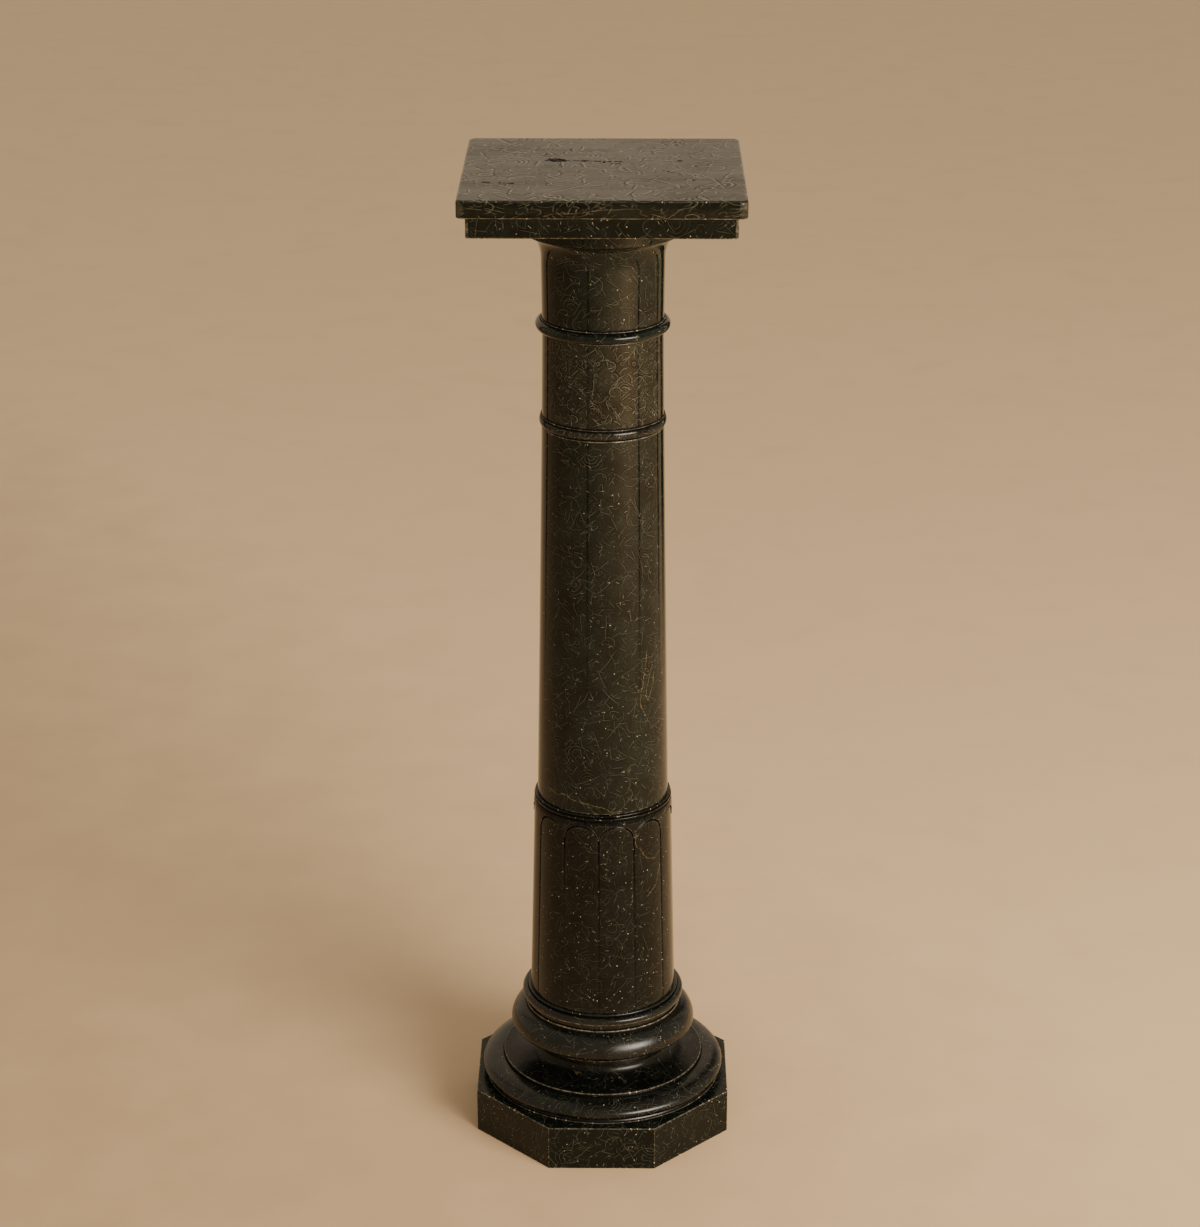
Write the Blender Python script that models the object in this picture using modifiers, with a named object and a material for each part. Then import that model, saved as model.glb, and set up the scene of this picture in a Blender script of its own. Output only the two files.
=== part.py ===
"""Turned stone pedestal with an octagonal plinth, a moulded base, four drums and a square two-step top.

The pedestal is eight solid stone blocks that stand on each other, dry at the joints:

    plinth       octagonal block, one flat to the front
    base         fillet, wide torus, scotia, narrow torus and a banded ring, turned in one
    lobed drum   twelve round-headed lobes under a collar whose lower edge follows their heads
    main shaft   the long tapered drum
    neck drum    short drum with a thin ring at its foot
    upper drum   short drum with a half-round ring at its foot and a hollow flare up to a disc
    under-slab   square block with a small cove at its top
    top slab     square slab with rounded corners and arrises

Units are metres and +Z is up. The origin is on the floor, on the axis, and the front faces -Y.
"""

import math

import bmesh
import bpy
from mathutils import Matrix

# Joint between two blocks
JOINT = 0.0003

# Octagonal plinth
PLINTH_WIDTH = 0.280
PLINTH_HEIGHT = 0.0503
PLINTH_ARRIS = 0.0007

# Turned base, from its foot up
FOOT_FILLET_RADIUS = 0.1316
FOOT_FILLET_HEIGHT = 0.0016
WIDE_TORUS_RADIUS = 0.1348
WIDE_TORUS_REACH = 0.0228
WIDE_TORUS_HALF_HEIGHT = 0.0109
SCOTIA_RIM_RADIUS = 0.1114
SCOTIA_RIM_HEIGHT = 0.0042
SCOTIA_NECK_RADIUS = 0.0772
SCOTIA_FALL = 0.0155
SCOTIA_NECK_HEIGHT = 0.0123
TORUS_FOOT_FILLET_RADIUS = 0.0895
TORUS_FOOT_FILLET_HEIGHT = 0.0024
NARROW_TORUS_RADIUS = 0.1022
NARROW_TORUS_REACH = 0.0210
NARROW_TORUS_LOWER_HEIGHT = 0.0092
NARROW_TORUS_UPPER_HEIGHT = 0.0215
TORUS_CAP_RADIUS = 0.0862
TORUS_CAP_HEIGHT = 0.0034
BAND_RECESS_RADIUS = 0.0842
BAND_RECESS_HEIGHT = 0.0080
BAND_RADIUS = 0.0894
BAND_HEIGHT = 0.0074
BAND_CROWN = 0.0040
BAND_BEAD_RADIUS = 0.0016
BAND_BEAD_REACH = 0.0834

# Lobed drum
LOBED_DRUM_HEIGHT = 0.2358
LOBED_FOOT_RADIUS = 0.0800
LOBED_HEAD_RADIUS = 0.0745
LOBE_COUNT = 12
LOBE_TURN = math.radians(-93.0)
LOBE_RISE = 0.0005
GROOVE_WIDTH = 0.0022
GROOVE_HEAD_DEPTH = 0.0014
GROOVE_FOOT_DEPTH = 0.0004
ARCH_APEX_DROP = 0.0122
ARCH_RISE = 0.0165
LOBE_HEAD_LAP = 0.0015
DART_WIDTH = 0.0012
COLLAR_HEIGHT = 0.0300
COLLAR_RADIUS = 0.0759
COLLAR_BEAD_RADIUS = 0.0012
COLLAR_QUIRK = 0.0008
COLLAR_BEAD_INSET = 0.0030
COLLAR_HEAD_INSET = 0.0004

# Main shaft
SHAFT_HEIGHT = 0.4177
SHAFT_FOOT_RADIUS = 0.0712
SHAFT_HEAD_RADIUS = 0.0642
SHAFT_WAIST_RADIUS = 0.0668
SHAFT_WAIST_SHARE = 0.62

# Neck drum and its thin ring
NECK_HEIGHT = 0.1029
NECK_FOOT_RADIUS = 0.0640
NECK_HEAD_RADIUS = 0.0629
THIN_RING_REACH = 0.0027
THIN_RING_HALF_HEIGHT = 0.0047
THIN_RING_FOOT_FILLET = 0.0009

# Upper drum, its half-round ring, hollow flare and disc
UPPER_DRUM_HEIGHT = 0.1267
UPPER_FOOT_RADIUS = 0.0632
UPPER_HEAD_RADIUS = 0.0638
ROUND_RING_RADIUS = 0.0055
ROUND_RING_SET_OUT = 0.0013
FLARE_HEIGHT = 0.0290
DISC_RADIUS = 0.0828
DISC_HEIGHT = 0.0232
DISC_ARRIS = 0.0014
DISC_STEP = 0.0006

# Narrow fillets beside the two rings
FILLET_HEIGHT = 0.0016
FILLET_REACH = 0.0014

# Under-slab
UNDER_SLAB_WIDTH = 0.2674
UNDER_SLAB_THICKNESS = 0.0215
UNDER_SLAB_CORNER_RADIUS = 0.0030
UNDER_SLAB_ARRIS = 0.0016
COVE_HEIGHT = 0.0042
COVE_REACH = 0.0026

# Top slab
TOP_SLAB_WIDTH = 0.2850
TOP_SLAB_THICKNESS = 0.0180
TOP_SLAB_CORNER_RADIUS = 0.0080
TOP_SLAB_ARRIS = 0.0032

# Where the middles of small mouldings stand, in their own half heights or radii
WIDE_TORUS_SINK = 0.85
BAND_BEAD_LIFT = 1.1
COLLAR_LOWER_BEAD_DROP = 3.6
COLLAR_LOWER_QUIRK_DROP = 2.2

# First and last angle of each arc of the outlines, in degrees from outward
BAND_BEAD_SPAN = (60, -30)
BAND_CROWN_SPAN = (90, 0)
NARROW_TORUS_UPPER_SPAN = (72, 0)
NARROW_TORUS_LOWER_SPAN = (-20, -62)
SCOTIA_SPAN = (180, 268)
WIDE_TORUS_SPAN = (76, -42)
THIN_RING_SPAN = (70, -70)
DISC_ARRIS_SPAN = (0, -90)
FLARE_SPAN = (90, 180)
ROUND_RING_SPAN = (76, -90)
COLLAR_TOP_BEAD_SPAN = (90, -50)
COLLAR_LOWER_BEAD_SPAN = (50, -50)
ARCH_SPAN = (0, 180)

# Levels of the lobes' side and of the cove, as shares of their heights
LOBE_LEVELS = (0.45, 1.0)
COLLAR_SWELL_SHARE = 1 / 3
COVE_LEVELS = (0.0, 0.5, 0.8)

# Reach of the cutters past the collar
CUTTER_LAP = 0.004
CUTTER_HALF_DEPTH = 0.006

# How finely round shapes are divided
BEAD_STEPS = 3
LOWER_BEAD_STEPS = 2
CROWN_STEPS = 4
TORUS_STEPS = 5
WIDE_TORUS_STEPS = 8
SCOTIA_STEPS = 6
RING_STEPS = 6
FLARE_STEPS = 5
DISC_ARRIS_STEPS = 2
TURN_STEPS = 36
LOBE_COLUMNS = 6
ARCH_STEPS = 9
SHARP_ANGLE = math.radians(32.0)
MERGE_DISTANCE = 0.00001

# Stone colours
DARK_STONE = (0.030, 0.027, 0.020, 1.0)
BROWN_STONE = (0.060, 0.052, 0.036, 1.0)
GREY_STONE = (0.055, 0.050, 0.042, 1.0)

# Roughness of the stone
HONED = 0.35
WORN_POLISH = 0.30
LOW_POLISH = 0.28
POLISH = 0.25
HIGH_POLISH = 0.22


def clear_scene():
    """Remove every object and the data that it leaves behind."""
    for obj in list(bpy.data.objects):
        bpy.data.objects.remove(obj, do_unlink=True)
    for store in (bpy.data.meshes, bpy.data.curves, bpy.data.materials):
        for block in list(store):
            store.remove(block)


def new_collection(name):
    """Make a collection of the given name in the scene."""
    old = bpy.data.collections.get(name)
    if old is not None:
        bpy.data.collections.remove(old)
    collection = bpy.data.collections.new(name)
    bpy.context.scene.collection.children.link(collection)
    return collection


def stone(name, colour, roughness):
    """Make a polished stone material."""
    material = bpy.data.materials.new(name)
    material.use_nodes = True
    shader = material.node_tree.nodes["Principled BSDF"]
    shader.inputs["Base Color"].default_value = colour
    shader.inputs["Roughness"].default_value = roughness
    shader.inputs["Metallic"].default_value = 0.0
    material.diffuse_color = colour
    return material


def finish(obj, material, smooth=True):
    """Turn an object's modifiers into its mesh, shade it and give it its stone."""
    depsgraph = bpy.context.evaluated_depsgraph_get()
    mesh = bpy.data.meshes.new_from_object(obj.evaluated_get(depsgraph))
    obj.modifiers.clear()
    mesh.name = obj.name
    obj.data = mesh
    mesh.materials.clear()
    mesh.materials.append(material)
    if smooth:
        mesh.shade_smooth()
        mesh.set_sharp_from_angle(angle=SHARP_ANGLE)
    return obj


def arc(centre, reach, half_height, span, steps):
    """Points of an elliptic arc in a profile, from one angle to another, in degrees from outward."""
    start, end = span
    points = []
    for step in range(steps + 1):
        angle = math.radians(start + (end - start) * step / steps)
        radius = centre[0] + reach * math.cos(angle)
        points.append((radius, centre[1] + half_height * math.sin(angle)))
    return points


def turned(name, collection, outline, height_below):
    """Turn an outline of (radius, height) points, listed down the outer side, into a solid block."""
    profile = [(0.0, outline[0][1])] + outline + [(0.0, outline[-1][1])]
    bm = bmesh.new()
    verts = [bm.verts.new((radius, 0.0, height)) for radius, height in profile]
    for upper, lower in zip(verts, verts[1:]):
        bm.edges.new((upper, lower))
    mesh = bpy.data.meshes.new(name)
    bm.to_mesh(mesh)
    bm.free()
    obj = bpy.data.objects.new(name, mesh)
    collection.objects.link(obj)
    obj.location.z = height_below
    screw = obj.modifiers.new("turn", "SCREW")
    screw.axis = "Z"
    screw.steps = TURN_STEPS
    screw.render_steps = TURN_STEPS
    screw.use_merge_vertices = True
    screw.merge_threshold = MERGE_DISTANCE
    return obj


def base_outline():
    """Outline of the turned base, its foot at height zero."""
    torus_mid = FOOT_FILLET_HEIGHT + WIDE_TORUS_HALF_HEIGHT * WIDE_TORUS_SINK
    torus_top = torus_mid + WIDE_TORUS_HALF_HEIGHT
    rim_top = torus_top + SCOTIA_RIM_HEIGHT
    neck_foot = rim_top + SCOTIA_FALL
    neck_top = neck_foot + SCOTIA_NECK_HEIGHT
    fillet_top = neck_top + TORUS_FOOT_FILLET_HEIGHT
    narrow_centre = (NARROW_TORUS_RADIUS - NARROW_TORUS_REACH, fillet_top + NARROW_TORUS_LOWER_HEIGHT)
    narrow_top = narrow_centre[1] + NARROW_TORUS_UPPER_HEIGHT
    recess_foot = narrow_top + TORUS_CAP_HEIGHT
    recess_top = recess_foot + BAND_RECESS_HEIGHT
    band_top = recess_top + BAND_HEIGHT
    bead_centre = (BAND_BEAD_REACH - BAND_BEAD_RADIUS, band_top + BAND_BEAD_RADIUS * BAND_BEAD_LIFT)
    crown_centre = (BAND_RADIUS - BAND_CROWN, band_top - BAND_CROWN)

    points = [(bead_centre[0], bead_centre[1] + BAND_BEAD_RADIUS)]
    points += arc(bead_centre, BAND_BEAD_RADIUS, BAND_BEAD_RADIUS, BAND_BEAD_SPAN, BEAD_STEPS)
    points += arc(crown_centre, BAND_CROWN, BAND_CROWN, BAND_CROWN_SPAN, CROWN_STEPS)
    points += [(BAND_RADIUS, recess_top), (BAND_RECESS_RADIUS, recess_top)]
    points += [(BAND_RECESS_RADIUS, recess_foot), (TORUS_CAP_RADIUS, recess_foot)]
    points += [(TORUS_CAP_RADIUS, narrow_top)]
    points += arc(
        narrow_centre, NARROW_TORUS_REACH, NARROW_TORUS_UPPER_HEIGHT, NARROW_TORUS_UPPER_SPAN, TORUS_STEPS
    )
    points += arc(
        narrow_centre, NARROW_TORUS_REACH, NARROW_TORUS_LOWER_HEIGHT, NARROW_TORUS_LOWER_SPAN, BEAD_STEPS
    )
    points += [(TORUS_FOOT_FILLET_RADIUS, fillet_top), (TORUS_FOOT_FILLET_RADIUS, neck_top)]
    points += [(SCOTIA_NECK_RADIUS, neck_top)]
    scotia_reach = SCOTIA_RIM_RADIUS - SCOTIA_NECK_RADIUS
    points += arc((SCOTIA_RIM_RADIUS, neck_foot), scotia_reach, SCOTIA_FALL, SCOTIA_SPAN, SCOTIA_STEPS)
    points += [(SCOTIA_RIM_RADIUS, rim_top), (SCOTIA_RIM_RADIUS, torus_top)]
    wide_centre = (WIDE_TORUS_RADIUS - WIDE_TORUS_REACH, torus_mid)
    points += arc(wide_centre, WIDE_TORUS_REACH, WIDE_TORUS_HALF_HEIGHT, WIDE_TORUS_SPAN, WIDE_TORUS_STEPS)
    points += [(FOOT_FILLET_RADIUS - FILLET_REACH, FOOT_FILLET_HEIGHT)]
    points += [(FOOT_FILLET_RADIUS, FOOT_FILLET_HEIGHT), (FOOT_FILLET_RADIUS, 0.0)]
    return points


def shaft_outline():
    """Outline of the main shaft, with the slight hollow of its taper at mid height."""
    return [
        (SHAFT_HEAD_RADIUS, SHAFT_HEIGHT),
        (SHAFT_WAIST_RADIUS, SHAFT_HEIGHT * SHAFT_WAIST_SHARE),
        (SHAFT_FOOT_RADIUS, 0.0),
    ]


def neck_outline():
    """Outline of the neck drum: a plain side over a fillet, a thin ring and a foot fillet."""
    ring_mid = THIN_RING_FOOT_FILLET + THIN_RING_HALF_HEIGHT
    ring_top = ring_mid + THIN_RING_HALF_HEIGHT
    fillet_top = ring_top + FILLET_HEIGHT
    points = [(NECK_HEAD_RADIUS, NECK_HEIGHT), (NECK_FOOT_RADIUS, fillet_top)]
    points += [(NECK_FOOT_RADIUS + FILLET_REACH, fillet_top), (NECK_FOOT_RADIUS + FILLET_REACH, ring_top)]
    points += arc(
        (NECK_FOOT_RADIUS, ring_mid), THIN_RING_REACH, THIN_RING_HALF_HEIGHT, THIN_RING_SPAN, RING_STEPS
    )
    foot_out = NECK_FOOT_RADIUS + FILLET_REACH / 2
    return points + [(foot_out, THIN_RING_FOOT_FILLET), (foot_out, 0.0)]


def upper_outline():
    """Outline of the upper drum: disc, hollow flare, plain side, fillet and half-round ring."""
    disc_foot = UPPER_DRUM_HEIGHT - DISC_HEIGHT
    flare_foot = disc_foot - FLARE_HEIGHT
    ring_top = 2 * ROUND_RING_RADIUS
    fillet_top = ring_top + FILLET_HEIGHT
    ring_centre = (UPPER_FOOT_RADIUS + ROUND_RING_SET_OUT, ROUND_RING_RADIUS)
    flare_end = DISC_RADIUS - DISC_ARRIS - DISC_STEP
    points = [(DISC_RADIUS, UPPER_DRUM_HEIGHT)]
    disc_centre = (DISC_RADIUS - DISC_ARRIS, disc_foot + DISC_ARRIS)
    points += arc(disc_centre, DISC_ARRIS, DISC_ARRIS, DISC_ARRIS_SPAN, DISC_ARRIS_STEPS)
    flare_reach = flare_end - UPPER_HEAD_RADIUS
    points += arc((flare_end, flare_foot), flare_reach, FLARE_HEIGHT - DISC_STEP, FLARE_SPAN, FLARE_STEPS)
    points += [(UPPER_FOOT_RADIUS, fillet_top), (UPPER_FOOT_RADIUS + FILLET_REACH, fillet_top)]
    points += [(UPPER_FOOT_RADIUS + FILLET_REACH, ring_top)]
    points += arc(ring_centre, ROUND_RING_RADIUS, ROUND_RING_RADIUS, ROUND_RING_SPAN, RING_STEPS)
    return points


def collar_outline():
    """Outline of the lobed drum's collar, its top at the drum's top."""
    top = LOBED_DRUM_HEIGHT
    bead = COLLAR_BEAD_RADIUS
    bead_reach = COLLAR_RADIUS - COLLAR_BEAD_INSET
    lower_mid = top - COLLAR_LOWER_BEAD_DROP * bead
    points = arc((bead_reach, top - bead), bead, bead, COLLAR_TOP_BEAD_SPAN, BEAD_STEPS)
    points += [(bead_reach + bead - COLLAR_QUIRK, (top - bead + lower_mid) / 2)]
    lower_centre = (bead_reach + COLLAR_QUIRK, lower_mid)
    points += arc(lower_centre, bead, bead, COLLAR_LOWER_BEAD_SPAN, LOWER_BEAD_STEPS)
    points += [(bead_reach + COLLAR_QUIRK + bead / 2, lower_mid - COLLAR_LOWER_QUIRK_DROP * bead)]
    points += [(COLLAR_RADIUS - COLLAR_HEAD_INSET, top - ARCH_APEX_DROP)]
    points += [(COLLAR_RADIUS, top - ARCH_APEX_DROP - ARCH_RISE * COLLAR_SWELL_SHARE)]
    return points + [(COLLAR_RADIUS, top - COLLAR_HEIGHT)]


def lobed_body(collection, height_below):
    """Tapered drum whose side is twelve shallow lobes with a groove between each two."""
    columns = LOBE_COUNT * LOBE_COLUMNS
    body_height = LOBED_DRUM_HEIGHT - ARCH_APEX_DROP + LOBE_HEAD_LAP
    bm = bmesh.new()
    bmesh.ops.create_cone(
        bm,
        cap_ends=True,
        segments=columns,
        radius1=LOBED_FOOT_RADIUS,
        radius2=LOBED_HEAD_RADIUS,
        depth=body_height,
        matrix=Matrix.Translation((0.0, 0.0, body_height / 2)),
    )
    cusp = LOBED_DRUM_HEIGHT - ARCH_APEX_DROP - ARCH_RISE
    for share in LOBE_LEVELS:
        everything = bm.verts[:] + bm.edges[:] + bm.faces[:]
        bmesh.ops.bisect_plane(bm, geom=everything, plane_co=(0.0, 0.0, cusp * share), plane_no=(0.0, 0.0, 1.0))

    pitch = 2 * math.pi / LOBE_COUNT
    shoulder = GROOVE_WIDTH / 2 / (LOBED_HEAD_RADIUS * pitch)
    for vert in bm.verts:
        height = vert.co.z
        drum_radius = LOBED_FOOT_RADIUS + (LOBED_HEAD_RADIUS - LOBED_FOOT_RADIUS) * height / body_height
        column = round(math.atan2(vert.co.y, vert.co.x) / (2 * math.pi) * columns) % columns
        lobe, place = divmod(column, LOBE_COLUMNS)
        if place == 0:
            share = 0.0
            climb = min(height / cusp, 1.0)
            radius = drum_radius - GROOVE_FOOT_DEPTH - (GROOVE_HEAD_DEPTH - GROOVE_FOOT_DEPTH) * climb
        else:
            share = shoulder + (1 - 2 * shoulder) * (place - 1) / (LOBE_COLUMNS - 2)
            radius = drum_radius + LOBE_RISE * (1 - (2 * share - 1) ** 2)
        angle = LOBE_TURN + pitch * (lobe + share)
        vert.co.x = radius * math.cos(angle)
        vert.co.y = radius * math.sin(angle)
    mesh = bpy.data.meshes.new("lobed_drum")
    bm.to_mesh(mesh)
    bm.free()
    obj = bpy.data.objects.new("lobed_drum", mesh)
    obj.location.z = height_below
    collection.objects.link(obj)
    return obj


def arch_cutters(collection, height_below):
    """One wedge for each lobe, with the lobe's round head as its top."""
    pitch = 2 * math.pi / LOBE_COUNT
    half_width = COLLAR_RADIUS * math.tan(pitch / 2) - DART_WIDTH / 2
    apex = LOBED_DRUM_HEIGHT - ARCH_APEX_DROP
    springing = apex - ARCH_RISE
    foot = LOBED_DRUM_HEIGHT - COLLAR_HEIGHT - CUTTER_LAP
    outline = arc((0.0, springing), half_width, ARCH_RISE, ARCH_SPAN, ARCH_STEPS)
    outline += [(-half_width, foot), (half_width, foot)]

    curve = bpy.data.curves.new("lobe_head", "CURVE")
    curve.dimensions = "2D"
    curve.fill_mode = "BOTH"
    curve.extrude = CUTTER_HALF_DEPTH
    spline = curve.splines.new("POLY")
    spline.points.add(len(outline) - 1)
    for point, (across, height) in zip(spline.points, outline):
        point.co = (across, height, 0.0, 1.0)
    spline.use_cyclic_u = True
    flat = bpy.data.objects.new("lobe_head", curve)
    collection.objects.link(flat)
    bpy.context.view_layer.update()
    depsgraph = bpy.context.evaluated_depsgraph_get()
    blank = bpy.data.meshes.new_from_object(flat.evaluated_get(depsgraph))
    bpy.data.objects.remove(flat, do_unlink=True)

    wedge = bmesh.new()
    wedge.from_mesh(blank)
    bmesh.ops.remove_doubles(wedge, verts=wedge.verts, dist=MERGE_DISTANCE)
    for vert in wedge.verts:
        across, height, depth = vert.co
        radius = COLLAR_RADIUS + depth
        vert.co = (radius, across * radius / COLLAR_RADIUS, height)
    bmesh.ops.recalc_face_normals(wedge, faces=wedge.faces)
    wedge.to_mesh(blank)
    wedge.free()

    bm = bmesh.new()
    for lobe in range(LOBE_COUNT):
        start = len(bm.verts)
        bm.from_mesh(blank)
        bm.verts.ensure_lookup_table()
        turn = Matrix.Rotation(LOBE_TURN + pitch * (lobe + 0.5), 4, "Z")
        bmesh.ops.transform(bm, matrix=turn, verts=bm.verts[start:])
    mesh = bpy.data.meshes.new("lobe_heads")
    bm.to_mesh(mesh)
    bm.free()
    bpy.data.meshes.remove(blank)
    obj = bpy.data.objects.new("lobe_heads", mesh)
    obj.location.z = height_below
    obj.hide_render = True
    obj.display_type = "WIRE"
    collection.objects.link(obj)
    return obj


def boolean(obj, operation, other):
    """Add an exact Boolean modifier."""
    modifier = obj.modifiers.new(operation.lower(), "BOOLEAN")
    modifier.operation = operation
    modifier.solver = "EXACT"
    modifier.object = other
    return modifier


def lobed_drum(collection, cutters, height_below, material):
    """Lobed body joined with a collar that is cut away over each lobe's head."""
    body = lobed_body(collection, height_below)
    collar = turned("lobed_collar", cutters, collar_outline(), height_below)
    collar.modifiers["turn"].steps = LOBE_COUNT * LOBE_COLUMNS
    collar.modifiers["turn"].render_steps = LOBE_COUNT * LOBE_COLUMNS
    collar.hide_render = True
    collar.display_type = "WIRE"
    boolean(collar, "DIFFERENCE", arch_cutters(cutters, height_below))
    boolean(body, "UNION", collar)
    bpy.context.view_layer.update()
    return finish(body, material)


def plinth(collection, height_below, material):
    """Octagonal block with a flat to the front."""
    side_angle = math.pi / 8
    corner_radius = PLINTH_WIDTH / 2 / math.cos(side_angle)
    bm = bmesh.new()
    bmesh.ops.create_cone(
        bm,
        cap_ends=True,
        segments=8,
        radius1=corner_radius,
        radius2=corner_radius,
        depth=PLINTH_HEIGHT,
        matrix=Matrix.Translation((0.0, 0.0, PLINTH_HEIGHT / 2)) @ Matrix.Rotation(side_angle, 4, "Z"),
    )
    mesh = bpy.data.meshes.new("plinth")
    bm.to_mesh(mesh)
    bm.free()
    obj = bpy.data.objects.new("plinth", mesh)
    obj.location.z = height_below
    collection.objects.link(obj)
    bevel = obj.modifiers.new("arris", "BEVEL")
    bevel.width = PLINTH_ARRIS
    bevel.segments = 1
    return finish(obj, material, smooth=False)


def square_block(name, collection, width, thickness, corner_radius, height_below):
    """Square block whose upright corners are rounded, its foot at height zero."""
    bm = bmesh.new()
    middle = Matrix.Translation((0.0, 0.0, thickness / 2))
    bmesh.ops.create_cube(bm, size=1.0, matrix=middle @ Matrix.Diagonal((width, width, thickness, 1.0)))
    upright = [edge for edge in bm.edges if abs(edge.verts[0].co.z - edge.verts[1].co.z) > thickness / 2]
    bmesh.ops.bevel(bm, geom=upright, offset=corner_radius, segments=4, profile=0.5, affect="EDGES")
    mesh = bpy.data.meshes.new(name)
    bm.to_mesh(mesh)
    bm.free()
    obj = bpy.data.objects.new(name, mesh)
    obj.location.z = height_below
    collection.objects.link(obj)
    return obj


def under_slab(collection, height_below, material):
    """Square block with a small cove round its top and an eased lower arris."""
    obj = square_block(
        "under_slab", collection, UNDER_SLAB_WIDTH, UNDER_SLAB_THICKNESS, UNDER_SLAB_CORNER_RADIUS, height_below
    )
    bm = bmesh.new()
    bm.from_mesh(obj.data)
    cove_foot = UNDER_SLAB_THICKNESS - COVE_HEIGHT
    for share in COVE_LEVELS:
        level = cove_foot + COVE_HEIGHT * share
        everything = bm.verts[:] + bm.edges[:] + bm.faces[:]
        bmesh.ops.bisect_plane(bm, geom=everything, plane_co=(0.0, 0.0, level), plane_no=(0.0, 0.0, 1.0))
    for vert in bm.verts:
        climb = (vert.co.z - cove_foot) / COVE_HEIGHT
        if climb > 0.0:
            reach = COVE_REACH * (1 - math.sqrt(max(0.0, 1 - climb**2)))
            vert.co.x += math.copysign(reach, vert.co.x)
            vert.co.y += math.copysign(reach, vert.co.y)
    foot_edges = [edge for edge in bm.edges if all(vert.co.z < MERGE_DISTANCE for vert in edge.verts)]
    bmesh.ops.bevel(bm, geom=foot_edges, offset=UNDER_SLAB_ARRIS, segments=2, profile=0.5, affect="EDGES")
    bm.to_mesh(obj.data)
    bm.free()
    return finish(obj, material)


def top_slab(collection, height_below, material):
    """Square slab with rounded corners and rounded upper and lower arrises."""
    obj = square_block(
        "top_slab", collection, TOP_SLAB_WIDTH, TOP_SLAB_THICKNESS, TOP_SLAB_CORNER_RADIUS, height_below
    )
    bevel = obj.modifiers.new("arris", "BEVEL")
    bevel.width = TOP_SLAB_ARRIS
    bevel.segments = 3
    bevel.limit_method = "ANGLE"
    bevel.angle_limit = math.radians(60.0)
    bpy.context.view_layer.update()
    return finish(obj, material)


def main():
    """Stack the eight blocks from the floor up."""
    clear_scene()
    parts = new_collection("stone_pedestal")
    cutters = new_collection("stone_pedestal_cutters")

    floor = 0.0
    plinth(parts, floor, stone("plinth_stone", DARK_STONE, HONED))

    base_foot = floor + PLINTH_HEIGHT + JOINT
    outline = base_outline()
    base = turned("moulded_base", parts, outline, base_foot)
    finish(base, stone("base_stone", DARK_STONE, POLISH))

    lobed_foot = base_foot + outline[0][1] + JOINT
    lobed_drum(parts, cutters, lobed_foot, stone("lobed_stone", DARK_STONE, POLISH))

    shaft_foot = lobed_foot + LOBED_DRUM_HEIGHT + JOINT
    shaft = turned("main_shaft", parts, shaft_outline(), shaft_foot)
    finish(shaft, stone("shaft_stone", DARK_STONE, HIGH_POLISH))

    neck_foot = shaft_foot + SHAFT_HEIGHT + JOINT
    neck = turned("neck_drum", parts, neck_outline(), neck_foot)
    finish(neck, stone("neck_stone", BROWN_STONE, HIGH_POLISH))

    upper_foot = neck_foot + NECK_HEIGHT + JOINT
    upper = turned("upper_drum", parts, upper_outline(), upper_foot)
    finish(upper, stone("upper_stone", DARK_STONE, HIGH_POLISH))

    under_foot = upper_foot + UPPER_DRUM_HEIGHT + JOINT
    under_slab(parts, under_foot, stone("under_slab_stone", DARK_STONE, LOW_POLISH))

    top_foot = under_foot + UNDER_SLAB_THICKNESS + JOINT
    top_slab(parts, top_foot, stone("top_slab_stone", GREY_STONE, WORN_POLISH))


main()
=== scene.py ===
"""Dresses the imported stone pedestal: worn, polished dark fossil limestone in soft studio light.

Units are metres and +Z is up. The origin is on the floor, on the pedestal's axis, and -Y is the front.
"""

import logging
import math
from dataclasses import dataclass, field
from enum import Enum

import bmesh
import bpy
import numpy as np
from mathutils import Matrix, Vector, noise


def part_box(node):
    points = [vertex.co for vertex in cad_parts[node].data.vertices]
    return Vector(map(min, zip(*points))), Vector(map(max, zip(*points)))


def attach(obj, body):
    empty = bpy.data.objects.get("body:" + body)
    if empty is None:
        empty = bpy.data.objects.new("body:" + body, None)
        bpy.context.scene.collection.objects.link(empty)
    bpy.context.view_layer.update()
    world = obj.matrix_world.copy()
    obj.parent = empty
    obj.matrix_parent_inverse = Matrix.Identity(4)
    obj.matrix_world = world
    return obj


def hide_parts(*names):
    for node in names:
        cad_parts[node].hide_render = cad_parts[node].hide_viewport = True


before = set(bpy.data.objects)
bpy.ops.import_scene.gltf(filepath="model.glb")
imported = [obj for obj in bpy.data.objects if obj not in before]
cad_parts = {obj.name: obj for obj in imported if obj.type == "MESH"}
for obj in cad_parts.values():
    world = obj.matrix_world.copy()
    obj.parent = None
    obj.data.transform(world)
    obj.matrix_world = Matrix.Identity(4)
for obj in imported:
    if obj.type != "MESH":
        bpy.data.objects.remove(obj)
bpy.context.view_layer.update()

LOG = logging.getLogger("stone_pedestal")
MM = 0.001

# How finely the blocks are divided
TURN_SEGMENTS = 288
ROW_SPACING = 0.0030
SIDE_SPACING = 0.0035
ARC_STEP = 5.0
EASE_STEPS = 4
END_STEPS = (0.0004, 0.0010, 0.0020)

# How far the light line beside an arris (wear and a painted highlight) and the painted shade beside a hollow and down
# the scotia reach
ARRIS_REACH = 0.0009
HOLLOW_REACH = 0.0016
MARK_PLATEAU = 1.35
# Reach and share of the painted shade down the scotia
PAINTED_SHADE_REACH = 0.0050
PAINTED_SHADE_SHARE = 0.55
LEAST_LEFT = 0.97

# Deepest wear of an arris, and the length over which it comes and goes
WEAR_DEPTH = 0.00035
WEAR_LENGTH = 0.009

# Surface angle past which an edge is drawn sharp
SHARP_ANGLE = math.radians(38.0)


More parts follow.
